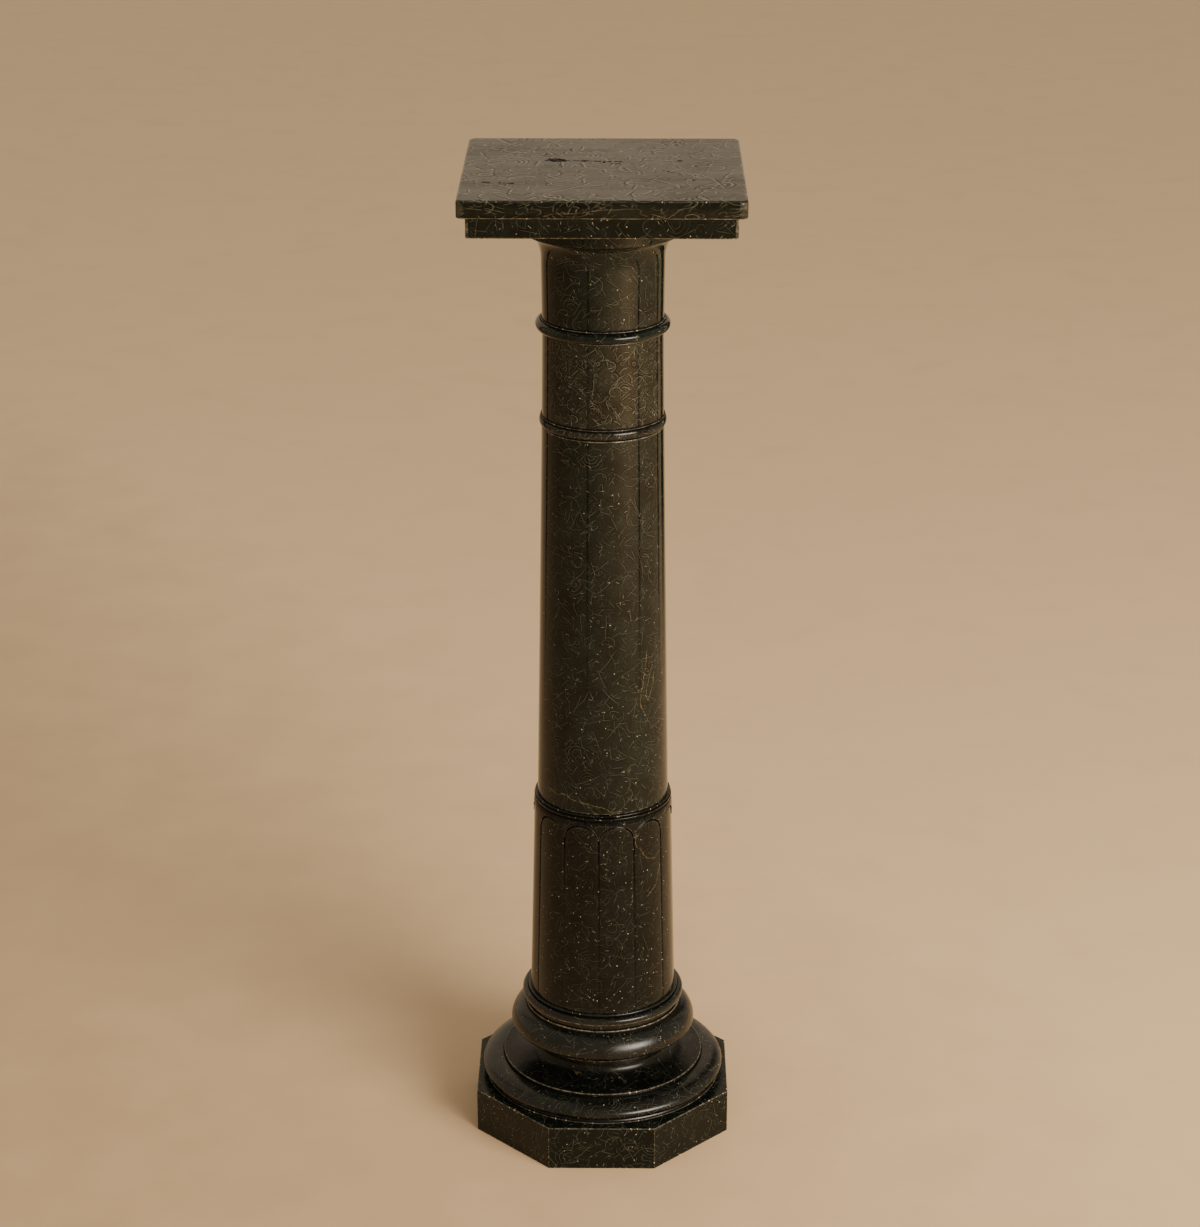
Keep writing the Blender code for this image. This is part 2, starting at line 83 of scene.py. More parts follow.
def linear(hex_colour: str) -> tuple[float, float, float, float]:
    """Turn an sRGB colour into the linear colour that a shader takes.

    Args:
        hex_colour: The colour as six hex digits.

    Returns:
        Red, green, blue and an alpha of one.
    """
    shares = [int(hex_colour[start : start + 2], 16) / 255.0 for start in (0, 2, 4)]
    red, green, blue = [share / 12.92 if share <= 0.04045 else ((share + 0.055) / 1.055) ** 2.4 for share in shares]
    return red, green, blue, 1.0


def add_node(
    tree: bpy.types.NodeTree,
    kind: str,
    settings: dict[str, object] | None = None,
    inputs: dict[str | int, object] | None = None,
) -> bpy.types.Node:
    """Add a node, set it up and link what feeds it.

    Args:
        tree: The tree that gets the node.
        kind: The node's type name.
        settings: Values for the node's own properties.
        inputs: A value or an output socket for each input, by name or number.

    Returns:
        The new node.
    """
    node = tree.nodes.new(kind)
    for name, value in (settings or {}).items():
        setattr(node, name, value)
    for name, value in (inputs or {}).items():
        if isinstance(value, bpy.types.NodeSocket):
            tree.links.new(value, node.inputs[name])
        else:
            node.inputs[name].default_value = value
    return node


class Edge(Enum):
    """What a corner of an outline is."""

    PLAIN = "plain"
    ARRIS = "arris"
    # An inner corner, which takes painted shade
    HOLLOW = "hollow"
    # Points that take a weaker painted shade, as down the scotia
    PAINTED_SHADE = "painted_shade"


@dataclass(frozen=True)
class Corner:
    """One corner of a block's outline.

    Attributes:
        out: Distance from the axis, or from the middle to the side.
        up: Height.
        ease: Radius to which the corner is rounded.
        edge: What the corner is.
    """

    out: float
    up: float
    ease: float = 0.0
    edge: Edge = Edge.PLAIN


@dataclass
class Trace:
    """An outline as close points, with the wear and dirt of each.

    Attributes:
        out: Distance of each point from the axis.
        up: Height of each point.
        arris: How far each point is rubbed back and given the light line of wear and painted highlight, from 0 to 1.
        hollow: How much painted shade each point takes, from 0 to 1.
        lines: Numbers of the points that lie on an arris.
    """

    out: np.ndarray
    up: np.ndarray
    arris: np.ndarray
    hollow: np.ndarray
    lines: list[int]


def graded(length: float, spacing: float, close_ends: bool = True) -> list[float]:
    """Share out a straight run, closely at its ends and evenly between.

    Args:
        length: Length of the run.
        spacing: Greatest distance between two points.
        close_ends: Whether the points stand closer at the two ends.

    Returns:
        Shares from 0 to 1 without the two ends.
    """
    near = [step for step in END_STEPS if close_ends and step < length / 2.2]
    inner = length - 2 * (near[-1] if near else 0.0)
    count = max(1, math.ceil(inner / spacing))
    start = near[-1] if near else 0.0
    middle = [start + inner * step / count for step in range(1, count)]
    places = near + middle + [length - step for step in reversed(near)]
    return [place / length for place in places]


class Outline:
    """Outline of a block, drawn from its underside up its outer side to its top."""

    def __init__(self) -> None:
        """Start with no corners."""
        self.corners: list[Corner] = []

    def corner(self, out: float, up: float, ease: float = 0.0003, edge: Edge = Edge.PLAIN) -> None:
        """Add a corner.

        Args:
            out: Distance from the axis.
            up: Height.
            ease: Radius to which it is rounded.
            edge: What it is.
        """
        self.corners.append(Corner(out, up, ease, edge))

    def arc(
        self,
        centre: tuple[float, float],
        reach: float,
        rise: float,
        start: float,
        end: float,
        edge: Edge = Edge.PLAIN,
    ) -> None:
        """Add an elliptic arc.

        Args:
            centre: Distance out and height of its centre.
            reach: Half its width.
            rise: Half its height.
            start: First angle in degrees, where 0 points out and 90 up.
            end: Last angle in degrees.
            edge: What its points are.
        """
        steps = max(3, round(abs(end - start) / ARC_STEP))
        for step in range(steps + 1):
            angle = math.radians(start + (end - start) * step / steps)
            out, up = centre[0] + reach * math.cos(angle), centre[1] + rise * math.sin(angle)
            self.corners.append(Corner(out, up, 0.0, edge))

    def traced(self, spacing: float = ROW_SPACING) -> Trace:
        """Round the corners and put in the points between them.

        Args:
            spacing: Greatest distance between two points of a straight run.

        Returns:
            The outline as close points.
        """
        corners = self.corners
        spots = [Vector((corner.out, corner.up)) for corner in corners]
        rounded: list[list[Vector]] = []
        for number, corner in enumerate(corners):
            spot = spots[number]
            if corner.ease == 0.0 or number in (0, len(corners) - 1):
                rounded.append([spot])
                continue
            before = spots[number - 1] - spot
            after = spots[number + 1] - spot
            half_turn = (math.pi - before.angle(after)) / 2
            cut = min(corner.ease * math.tan(half_turn), before.length * 0.45, after.length * 0.45)
            first = spot + before.normalized() * cut
            last = spot + after.normalized() * cut
            points = []
            for step in range(EASE_STEPS + 1):
                share = step / EASE_STEPS
                points.append(first * (1 - share) ** 2 + spot * 2 * share * (1 - share) + last * share**2)
            rounded.append(points)

        points: list[Vector] = []
        lines: list[int] = []
        for number, group in enumerate(rounded):
            if number:
                start, end = points[-1], group[0]
                smooth_run = all(
                    corners[place].ease == 0.0 and corners[place].edge in (Edge.PLAIN, Edge.PAINTED_SHADE)
                    for place in (number - 1, number)
                )
                shares = graded((end - start).length, spacing, not smooth_run)
                points += [start.lerp(end, share) for share in shares]
            if corners[number].edge is Edge.ARRIS:
                lines.append(len(points) + len(group) // 2)
            points += group

        table = np.array([[point.x, point.y] for point in points])
        weights = []
        marked = ((Edge.ARRIS, ARRIS_REACH), (Edge.HOLLOW, HOLLOW_REACH), (Edge.PAINTED_SHADE, PAINTED_SHADE_REACH))
        for edge, reach in marked:
            marks = [spots[number] for number, corner in enumerate(corners) if corner.edge is edge]
            weight = np.zeros(len(table))
            for mark in marks:
                away = np.hypot(table[:, 0] - mark.x, table[:, 1] - mark.y)
                weight = np.maximum(weight, MARK_PLATEAU - away / reach)
            weights.append(np.clip(weight, 0.0, 1.0))
        # Painted shade: full beside a hollow corner, weaker down the scotia.
        hollow = np.maximum(weights[1], weights[2] * PAINTED_SHADE_SHARE)
        return Trace(table[:, 0], table[:, 1], weights[0], hollow, lines)


@dataclass(frozen=True)
class RoundPlan:
    """Plan of a turned block."""

    segments: int = TURN_SEGMENTS

    def ring(self, out: float) -> np.ndarray:
        """Points of the plan at one distance from the axis, as rows of x and y."""
        angle = np.arange(self.segments) * 2 * math.pi / self.segments
        return np.stack([np.sin(angle), -np.cos(angle)], axis=1) * out

    def wear(self) -> np.ndarray:
        """A turned block has no upright arris."""
        return np.zeros(self.segments)


@dataclass(frozen=True)
class SidedPlan:
    """Plan of a block with equal straight sides, one of them to the front.

    Attributes:
        sides: Number of sides.
        half_width: Distance from the middle to a side.
        corner_radius: Radius of the upright corners.
        upright_wear: How far the upright corners are rubbed back and given the light line of wear and painted
            highlight, from 0 to 1.
    """

    sides: int
    half_width: float
    corner_radius: float
    upright_wear: float
    corner_steps: int = 6

    def shares(self) -> list[float]:
        """Shares of a side at which it has a point, its two ends left out."""
        length = 2 * math.tan(math.pi / self.sides) * (self.half_width - self.corner_radius)
        return graded(length, SIDE_SPACING)

    def ring(self, out: float) -> np.ndarray:
        """Points of the plan with its sides at one distance, as rows of x and y.

        Args:
            out: Distance from the middle to a side.

        Returns:
            One row for each point.
        """
        radius = max(self.corner_radius + out - self.half_width, 0.0002)
        reach = (out - radius) / math.cos(math.pi / self.sides)
        rows: list[tuple[float, float]] = []
        for side in range(self.sides):
            corner_angle = (side + 0.5) * 2 * math.pi / self.sides
            centre = (reach * math.sin(corner_angle), -reach * math.cos(corner_angle))
            arc = []
            for step in range(self.corner_steps + 1):
                angle = (side + step / self.corner_steps) * 2 * math.pi / self.sides
                arc.append((centre[0] + radius * math.sin(angle), centre[1] - radius * math.cos(angle)))
            if rows:
                start, end = rows[-1], arc[0]
                rows += self.between(start, end)
            rows += arc
        rows += self.between(rows[-1], rows[0])
        return np.array(rows)

    def between(self, start: tuple[float, float], end: tuple[float, float]) -> list[tuple[float, float]]:
        """Points along a side between two corners."""
        return [
            (start[0] + (end[0] - start[0]) * share, start[1] + (end[1] - start[1]) * share) for share in self.shares()
        ]

    def wear(self) -> np.ndarray:
        """How far each point of the plan is rubbed back and given the light line of wear and painted highlight."""
        run = len(self.shares())
        weights = []
        for _ in range(self.sides):
            arc = 1.0 - np.abs(np.linspace(-1.0, 1.0, self.corner_steps + 1)) * 0.6
            weights += list(arc * self.upright_wear) + [0.0] * run
        return np.array(weights)

    def upright_lines(self) -> list[int]:
        """Numbers of the plan's points in the middle of each corner."""
        run = self.corner_steps + 1 + len(self.shares())
        return [side * run + self.corner_steps // 2 for side in range(self.sides)]


@dataclass(frozen=True)
class Vein:
    """A mineral vein on a turned block.

    Attributes:
        places: Azimuth in degrees, 0 to the front and growing to the right, and height of each bend.
        dark: 1 for a dark hairline crack, 0 for a pale vein.
    """

    places: tuple[tuple[float, float], ...]
    dark: float = 0.0


def store(mesh: bpy.types.Mesh, name: str, values: np.ndarray) -> None:
    """Keep a number for each vertex of a mesh under a name."""
    layer = mesh.attributes.new(name, "FLOAT", "POINT")
    layer.data.foreach_set("value", values.astype(np.float32))


def move_to_corners(mesh: bpy.types.Mesh) -> None:
    """Keep each vertex number of a mesh per face corner instead, so that a cut fills it in."""
    ends = np.zeros(len(mesh.loops), dtype=np.int32)
    mesh.loops.foreach_get("vertex_index", ends)
    for name in ("arris", "hollow", "vein_side", "vein_fade", "vein_dark"):
        layer = mesh.attributes.get(name)
        values = np.zeros(len(mesh.vertices), dtype=np.float32)
        layer.data.foreach_get("value", values)
        mesh.attributes.remove(layer)
        mesh.attributes.new(name, "FLOAT", "CORNER").data.foreach_set("value", values[ends])


def store_veins(mesh: bpy.types.Mesh, veins: tuple[Vein, ...]) -> None:
    """Keep each vertex's signed distance from the nearest vein, its fading past the ends, and its tone.

    Args:
        mesh: The block's mesh.
        veins: The veins of the block.
    """
    points = np.array([vertex.co[:] for vertex in mesh.vertices])
    dark = np.zeros(len(points))
    side = np.full(len(points), 9.0)
    fade = np.zeros(len(points))
    azimuth = np.degrees(np.arctan2(points[:, 0], -points[:, 1]))
    radius = np.hypot(points[:, 0], points[:, 1])
    for vein in veins:
        for (angle_a, height_a), (angle_b, height_b) in zip(vein.places, vein.places[1:]):
            across = np.radians((azimuth - angle_a + 180.0) % 360.0 - 180.0) * radius
            run_across = np.radians(angle_b - angle_a) * radius
            climb = points[:, 2] - height_a
            run_climb = height_b - height_a
            length = np.hypot(run_across, run_climb) + 1e-9
            along = (across * run_across + climb * run_climb) / length**2
            held = np.clip(along, 0.0, 1.0)
            away = np.hypot(across - held * run_across, climb - held * run_climb)
            sign = np.sign(across * run_climb - climb * run_across)
            nearer = away / MM < np.abs(side)
            side = np.where(nearer, sign * away / MM, side)
            overshoot = np.maximum(-along, along - 1.0) * length / MM
            reach = np.clip(1.0 - np.maximum(overshoot, 0.0), 0.0, 1.0) * (away / MM < 4.0)
            fade = np.where(nearer, reach, fade)
            dark = np.where(nearer, vein.dark, dark)
    store(mesh, "vein_side", side)
    store(mesh, "vein_fade", fade)
    store(mesh, "vein_dark", dark)


class Block:
    """One block of stone as a closed mesh swept round a plan."""

    def __init__(self, name: str, trace: Trace, plan: RoundPlan | SidedPlan, foot: float) -> None:
        """Make the mesh.

        Args:
            name: Name of the piece.
            trace: The block's outline.
            plan: The block's plan.
            foot: Height of the block's underside.
        """
        self.name = name
        self.trace = trace
        self.plan = plan
        rings = [plan.ring(out) for out in trace.out]
        self.columns = len(rings[0])
        rows = len(rings)
        points = np.zeros((rows, self.columns, 3))
        for row, ring in enumerate(rings):
            points[row, :, :2] = ring
            points[row, :, 2] = trace.up[row] + foot
        arris = np.maximum(trace.arris[:, None], plan.wear()[None, :] * self.upright_share()[:, None])
        hollow = np.repeat(trace.hollow[:, None], self.columns, axis=1)

        number = np.arange(rows * self.columns).reshape(rows, self.columns)
        onward = np.roll(number, -1, axis=1)
        quads = np.stack([number[:-1], onward[:-1], onward[1:], number[1:]], axis=-1).reshape(-1, 4)
        faces = quads.tolist()
        faces.append(number[0][::-1].tolist())
        faces.append(number[-1].tolist())
        self.mesh = bpy.data.meshes.new(name)
        self.mesh.from_pydata(points.reshape(-1, 3).tolist(), [], faces)
        self.mesh.shade_smooth()
        self.arris = arris.reshape(-1)
        self.hollow = hollow.reshape(-1)
        store(self.mesh, "arris", self.arris)
        store(self.mesh, "hollow", self.hollow)

    def upright_share(self) -> np.ndarray:
        """Share of the upright arris's wear that each level has: none on the flat underside and top."""
        level = np.gradient(self.trace.up)
        return (level > 1e-6).astype(float)

    def wear_down(self, depth: float, seed: int) -> None:
        """Rub the arrises back unevenly.

        Args:
            depth: Deepest wear.
            seed: Which piece of noise to use.
        """
        shift = Vector((seed * 7.3, seed * 3.1, seed * 5.7))
        places = np.zeros(len(self.mesh.vertices) * 3, dtype=np.float32)
        normals = np.zeros_like(places)
        self.mesh.vertices.foreach_get("co", places)
        self.mesh.vertices.foreach_get("normal", normals)
        places, normals = places.reshape(-1, 3), normals.reshape(-1, 3)
        for number in np.flatnonzero(self.arris > 0.0):
            spot = Vector(places[number].tolist())
            bite = 0.5 + 0.5 * noise.noise(spot / WEAR_LENGTH + shift)
            fine = 0.5 + 0.5 * noise.noise(spot / (WEAR_LENGTH * 0.25) + shift)
            places[number] -= normals[number] * (depth * self.arris[number] * bite * (0.5 + 0.8 * fine))
        self.mesh.vertices.foreach_set("co", places.ravel())
        self.mesh.update()

    def arris_lines(self) -> list[list[Vector]]:
        """Lines of points along the block's arrises."""
        vertices = self.mesh.vertices
        lines = []
        for row in self.trace.lines:
            start = row * self.columns
            ring = [vertices[start + column].co.copy() for column in range(self.columns)]
            lines.append(ring)
        if isinstance(self.plan, SidedPlan):
            level = self.upright_share()
            for column in self.plan.upright_lines():
                rows = [row for row in range(len(self.trace.up)) if level[row] > 0.0][EASE_STEPS * 2 : -EASE_STEPS * 2]
                lines.append([vertices[row * self.columns + column].co.copy() for row in rows])
        return lines


def link(name: str, mesh: bpy.types.Mesh) -> bpy.types.Object:
    """Put a mesh in the scene as an object at the origin."""
    obj = bpy.data.objects.new(name, mesh)
    bpy.context.scene.collection.objects.link(obj)
    return obj


def baked(obj: bpy.types.Object) -> bpy.types.Object:
    """Turn an object's modifiers into its plain mesh."""
    depsgraph = bpy.context.evaluated_depsgraph_get()
    mesh = bpy.data.meshes.new_from_object(obj.evaluated_get(depsgraph))
    obj.modifiers.clear()
    old = obj.data
    obj.data = mesh
    mesh.name = obj.name
    bpy.data.meshes.remove(old)
    return obj


def run_tree(obj: bpy.types.Object, tree: bpy.types.NodeTree, values: dict[str, object]) -> bpy.types.Object:
    """Run a Geometry Nodes tree on an object and keep the plain mesh.

    Args:
        obj: The object that the tree starts from.
        tree: The tree.
        values: A value for each named input.

    Returns:
        The same object with its new mesh.
    """
    modifier = obj.modifiers.new(tree.name, "NODES")
    modifier.node_group = tree
    for item in tree.interface.items_tree:
        if item.item_type == "SOCKET" and item.in_out == "INPUT" and item.name in values:
            modifier[item.identifier] = values[item.name]
    return baked(obj)


def new_tree(name: str, inputs: dict[str, str]) -> tuple[bpy.types.NodeTree, bpy.types.Node]:
    """Start a Geometry Nodes tree with named inputs and one geometry output.

    Args:
        name: Name of the tree.
        inputs: Socket type of each input, by its name.

    Returns:
        The tree and its input node.
    """
    tree = bpy.data.node_groups.new(name, "GeometryNodeTree")
    for label, kind in inputs.items():
        tree.interface.new_socket(label, in_out="INPUT", socket_type=kind)
    tree.interface.new_socket("Geometry", in_out="OUTPUT", socket_type="NodeSocketGeometry")
    return tree, tree.nodes.new("NodeGroupInput")


def chip_tree() -> bpy.types.NodeTree:
    """Tree that strews rough shards along lines, as cutters for the chips in an arris."""
    tree, given = new_tree(
        "chips_along_arrises",
        {
            "Arrises": "NodeSocketGeometry",
            "Spacing": "NodeSocketFloat",
            "Share": "NodeSocketFloat",
            "Least Size": "NodeSocketFloat",
            "Greatest Size": "NodeSocketFloat",
            "Seed": "NodeSocketInt",
            "Stone": "NodeSocketMaterial",
        },
    )
    value = given.outputs
    curve = add_node(tree, "GeometryNodeMeshToCurve", None, {"Mesh": value["Arrises"]})
    points = add_node(
        tree, "GeometryNodeCurveToPoints", {"mode": "LENGTH"}, {"Curve": curve.outputs[0], "Length": value["Spacing"]}
    )
    jitter = add_node(tree, "FunctionNodeRandomValue", None, {2: -0.45, 3: 0.45, "Seed": value["Seed"]})
    slide = add_node(tree, "ShaderNodeMath", {"operation": "MULTIPLY"}, {0: jitter.outputs[1], 1: value["Spacing"]})
    offset = add_node(
        tree, "ShaderNodeVectorMath", {"operation": "SCALE"}, {0: points.outputs["Tangent"], "Scale": slide.outputs[0]}
    )
    moved = add_node(
        tree, "GeometryNodeSetPosition", None, {"Geometry": points.outputs["Points"], "Offset": offset.outputs[0]}
    )
    lot_seed = add_node(tree, "ShaderNodeMath", {"operation": "ADD"}, {0: value["Seed"], 1: 1.0})
    lot = add_node(tree, "FunctionNodeRandomValue", None, {2: 0.0, 3: 1.0, "Seed": lot_seed.outputs[0]})
    dropped = add_node(
        tree, "FunctionNodeCompare", {"operation": "GREATER_THAN"}, {0: lot.outputs[1], 1: value["Share"]}
    )
    kept = add_node(
        tree,
        "GeometryNodeDeleteGeometry",
        {"domain": "POINT"},
        {"Geometry": moved.outputs[0], "Selection": dropped.outputs[0]},
    )
    ball = add_node(tree, "GeometryNodeMeshIcoSphere", None, {"Radius": 1.0, "Subdivisions": 2})
    lumps = add_node(tree, "ShaderNodeTexNoise", None, {"Scale": 1.3, "Detail": 1.0})
    centred = add_node(
        tree, "ShaderNodeVectorMath", {"operation": "SUBTRACT"}, {0: lumps.outputs["Color"], 1: (0.5, 0.5, 0.5)}
    )
    rough = add_node(
        tree, "GeometryNodeSetPosition", None, {"Geometry": ball.outputs["Mesh"], "Offset": centred.outputs[0]}
    )
    turn_seed = add_node(tree, "ShaderNodeMath", {"operation": "ADD"}, {0: value["Seed"], 1: 2.0})
    turn = add_node(
        tree,
        "FunctionNodeRandomValue",
        {"data_type": "FLOAT_VECTOR"},
        {0: (0.0, 0.0, 0.0), 1: (math.tau, math.tau, math.tau), "Seed": turn_seed.outputs[0]},
    )
    size_seed = add_node(tree, "ShaderNodeMath", {"operation": "ADD"}, {0: value["Seed"], 1: 3.0})
    lot_size = add_node(tree, "FunctionNodeRandomValue", None, {2: 0.0, 3: 1.0, "Seed": size_seed.outputs[0]})
    rare = add_node(tree, "ShaderNodeMath", {"operation": "POWER"}, {0: lot_size.outputs[1], 1: 3.0})
    size = add_node(
        tree,
        "ShaderNodeMapRange",
        None,
        {0: rare.outputs[0], 1: 0.0, 2: 1.0, 3: value["Least Size"], 4: value["Greatest Size"]},
    )
    stretch_seed = add_node(tree, "ShaderNodeMath", {"operation": "ADD"}, {0: value["Seed"], 1: 4.0})
    stretch = add_node(
        tree,
        "FunctionNodeRandomValue",
        {"data_type": "FLOAT_VECTOR"},
        {0: (0.6, 0.6, 0.6), 1: (1.5, 1.1, 1.1), "Seed": stretch_seed.outputs[0]},
    )
    scale = add_node(
        tree, "ShaderNodeVectorMath", {"operation": "SCALE"}, {0: stretch.outputs[0], "Scale": size.outputs[0]}
    )
    shards = add_node(
        tree,
        "GeometryNodeInstanceOnPoints",
        None,
        {
            "Points": kept.outputs[0],
            "Instance": rough.outputs[0],
            "Rotation": turn.outputs[0],
            "Scale": scale.outputs[0],
        },
    )
    real = add_node(tree, "GeometryNodeRealizeInstances", None, {"Geometry": shards.outputs[0]})
    dressed = add_node(
        tree, "GeometryNodeSetMaterial", None, {"Geometry": real.outputs[0], "Material": value["Stone"]}
    )
    add_node(tree, "NodeGroupOutput", None, {"Geometry": dressed.outputs[0]})
    return tree


def lobe_tree() -> bpy.types.NodeTree:
    """Tree that sets one lobe round the axis and joins the copies into one block."""
    tree, given = new_tree(
        "lobes_round_drum",
        {
            "Lobe": "NodeSocketGeometry",
            "Lobe Count": "NodeSocketInt",
            "Pitch": "NodeSocketFloat",
            "Turn": "NodeSocketFloat",
            "Join Distance": "NodeSocketFloat",
            "Stone": "NodeSocketMaterial",
        },
    )
    value = given.outputs
    points = add_node(tree, "GeometryNodePoints", None, {"Count": value["Lobe Count"], "Radius": 0.01})
    index = add_node(tree, "GeometryNodeInputIndex")
    step = add_node(
        tree,
        "ShaderNodeMath",
        {"operation": "MULTIPLY_ADD"},
        {0: index.outputs[0], 1: value["Pitch"], 2: value["Turn"]},
    )
    turn = add_node(tree, "ShaderNodeCombineXYZ", None, {"Z": step.outputs[0]})
    copies = add_node(
        tree,
        "GeometryNodeInstanceOnPoints",
        None,
        {"Points": points.outputs[0], "Instance": value["Lobe"], "Rotation": turn.outputs[0]},
    )
    real = add_node(tree, "GeometryNodeRealizeInstances", None, {"Geometry": copies.outputs[0]})
    joined = add_node(
        tree,
        "GeometryNodeMergeByDistance",
        None,
        {"Geometry": real.outputs[0], "Distance": value["Join Distance"]},
    )
    dressed = add_node(
        tree, "GeometryNodeSetMaterial", None, {"Geometry": joined.outputs[0], "Material": value["Stone"]}
    )
    add_node(tree, "NodeGroupOutput", None, {"Geometry": dressed.outputs[0]})
    return tree


@dataclass(frozen=True)
class FossilLimestone:
    """Polished dark fossil limestone.

    The stone is an olive-brown to black limestone full of broken shell and coral. Cut and polished, it shows
    thin pale squiggles, arcs, rings and rice-grain dashes with scattered white specks on a clouded dark ground.

    Attributes:
        name: Name of the material.
        place: Where in the quarry block the piece was cut, in millimetres.
        ground: Colour of the plain stone.
        shade: Colour of its darkest clouds.
        mark: Colour of the shell lines.
        bright: Colour of the short rice-grain dashes.
        speck: Colour of the small white specks.
        worn_and_highlight: Colour of the light line along an arris: wear and a painted highlight.
        vein: Colour of a mineral vein.
        dark_and_painted_shade: Near-black colour of the dark grain and cracks, of the painted shadow beside the marks,
            and of the painted shade in the hollows.
        lines: Strength of the winding lines.
        shards: Strength of the dashes.
        rings: Strength of the arcs and rings.
        specks: Share of the cells that hold a speck.
        wear: Strength of the light line along an arris: wear and a painted highlight.
        roughness: Roughness of the polish.
        streaks: How far the sheen varies in streaks from side to side.
        drawn: How far the marks are drawn out from side to side and from front to back.
        top_wear: How much stronger the marks show on a level face, where wear has etched them.
        fineness: How much finer the marks are than in the other pieces.
        gloss: Level of the mirror reflection, where 0.5 is that of a closed polish.
    """

    name: str
    place: tuple[float, float, float]
    ground: str = "1A211B"
    shade: str = "0D120E"
    mark: str = "6B6B5A"
    bright: str = "938F79"
    speck: str = "C8BA96"
    worn_and_highlight: str = "A79F88"
    vein: str = "746244"
    dark_and_painted_shade: str = "040403"
    lines: float = 0.6
    shards: float = 0.7
    rings: float = 0.55
    specks: float = 0.40
    wear: float = 0.8
    roughness: float = 0.07
    streaks: float = 0.0
    drawn: tuple[float, float] = (1.0, 1.0)
    top_wear: float = 1.0
    fineness: float = 1.0
    gloss: float = 0.30

    def build(self) -> bpy.types.Material:
        """Build the material."""
        material = bpy.data.materials.new(self.name)
        material.use_nodes = True
        tree = material.node_tree
        tree.nodes.clear()
        where = self.coordinates(tree)
        drift = self.warped(tree, where, 0.030, 10.0)
        bent = self.warped(tree, where, 0.070, 2.8)
        fine = self.fineness

        colour = self.clouded_ground(tree, where)
        marks = [
            (self.growth_lines(tree, drift, 0.034 * fine, 3.4 / fine), self.mark, self.rings * 0.42),
            (self.shell_dashes(tree, drift, 0.090 * fine, 6.5 / fine, 0.0), self.mark, self.lines * 0.42),
            (self.shell_dashes(tree, drift, 0.032 * fine, 18.0 / fine, 0.0), self.mark, self.lines * 0.42),
            (self.shell_dashes(tree, bent, 0.060 * fine, 9.0 / fine, 0.05), self.mark, self.lines * 0.45),
            (self.shell_rings(tree, bent, 0.048 * fine, 5.0 / fine, 15.0 / fine), self.mark, self.rings * 0.45),
            (self.shell_rings(tree, drift, 0.110 * fine, 1.5, 4.0 / fine), self.mark, self.rings * 0.28),
            (self.shell_dashes(tree, bent, 0.135, 2.2, 0.50), self.bright, self.shards * 0.62),
        ]
        etched = None
        surface = add_node(tree, "ShaderNodeNewGeometry")
        axes = add_node(tree, "ShaderNodeSeparateXYZ", None, {0: surface.outputs["True Normal"]})
        level = add_node(tree, "ShaderNodeMapRange", None, {0: axes.outputs["Z"], 1: 0.9, 3: 1.0, 4: self.top_wear})
        for (light, dark), tone, share in marks:
            deep = self.product(tree, dark, level.outputs[0])
            cut = add_node(tree, "ShaderNodeMath", {"operation": "MULTIPLY"}, {0: deep, 1: min(1.0, share * 1.6)})
            # Painted shadow on one side of each pale mark, for a cut-in look; the polish is dulled there too.
            colour = self.laid_over(tree, colour, self.dark_and_painted_shade, cut.outputs[0], 1.0)
            colour = self.laid_over(tree, colour, tone, self.product(tree, light, level.outputs[0]), share)
            etched = cut if etched is None else add_node(
                tree, "ShaderNodeMath", {"operation": "MAXIMUM"}, {0: etched.outputs[0], 1: cut.outputs[0]}
            )
        colour = self.laid_over(tree, colour, self.speck, self.white_specks(tree, where), 1.0)
        veined = self.laid_over(tree, colour, self.vein, self.vein_mask(tree, where), 0.6)
        cracked = self.laid_over(tree, colour, self.dark_and_painted_shade, self.vein_mask(tree, where), 1.0)
        tone = add_node(tree, "ShaderNodeAttribute", {"attribute_name": "vein_dark"})
        colour = add_node(
            tree,
            "ShaderNodeMix",
            {"data_type": "RGBA"},
            {"Factor": tone.outputs["Fac"], 6: veined, 7: cracked},
        ).outputs[2]
        # Light line along the arrises: partly wear, partly a painted highlight.
        colour = self.laid_over(tree, colour, self.worn_and_highlight, self.arris_mask(tree, where), self.wear)
        hollow = add_node(tree, "ShaderNodeAttribute", {"attribute_name": "hollow"})
        # Painted shade in the hollows, down the scotia and under the lobes' arches.
        colour = self.laid_over(tree, colour, self.dark_and_painted_shade, hollow.outputs["Fac"], 0.9)

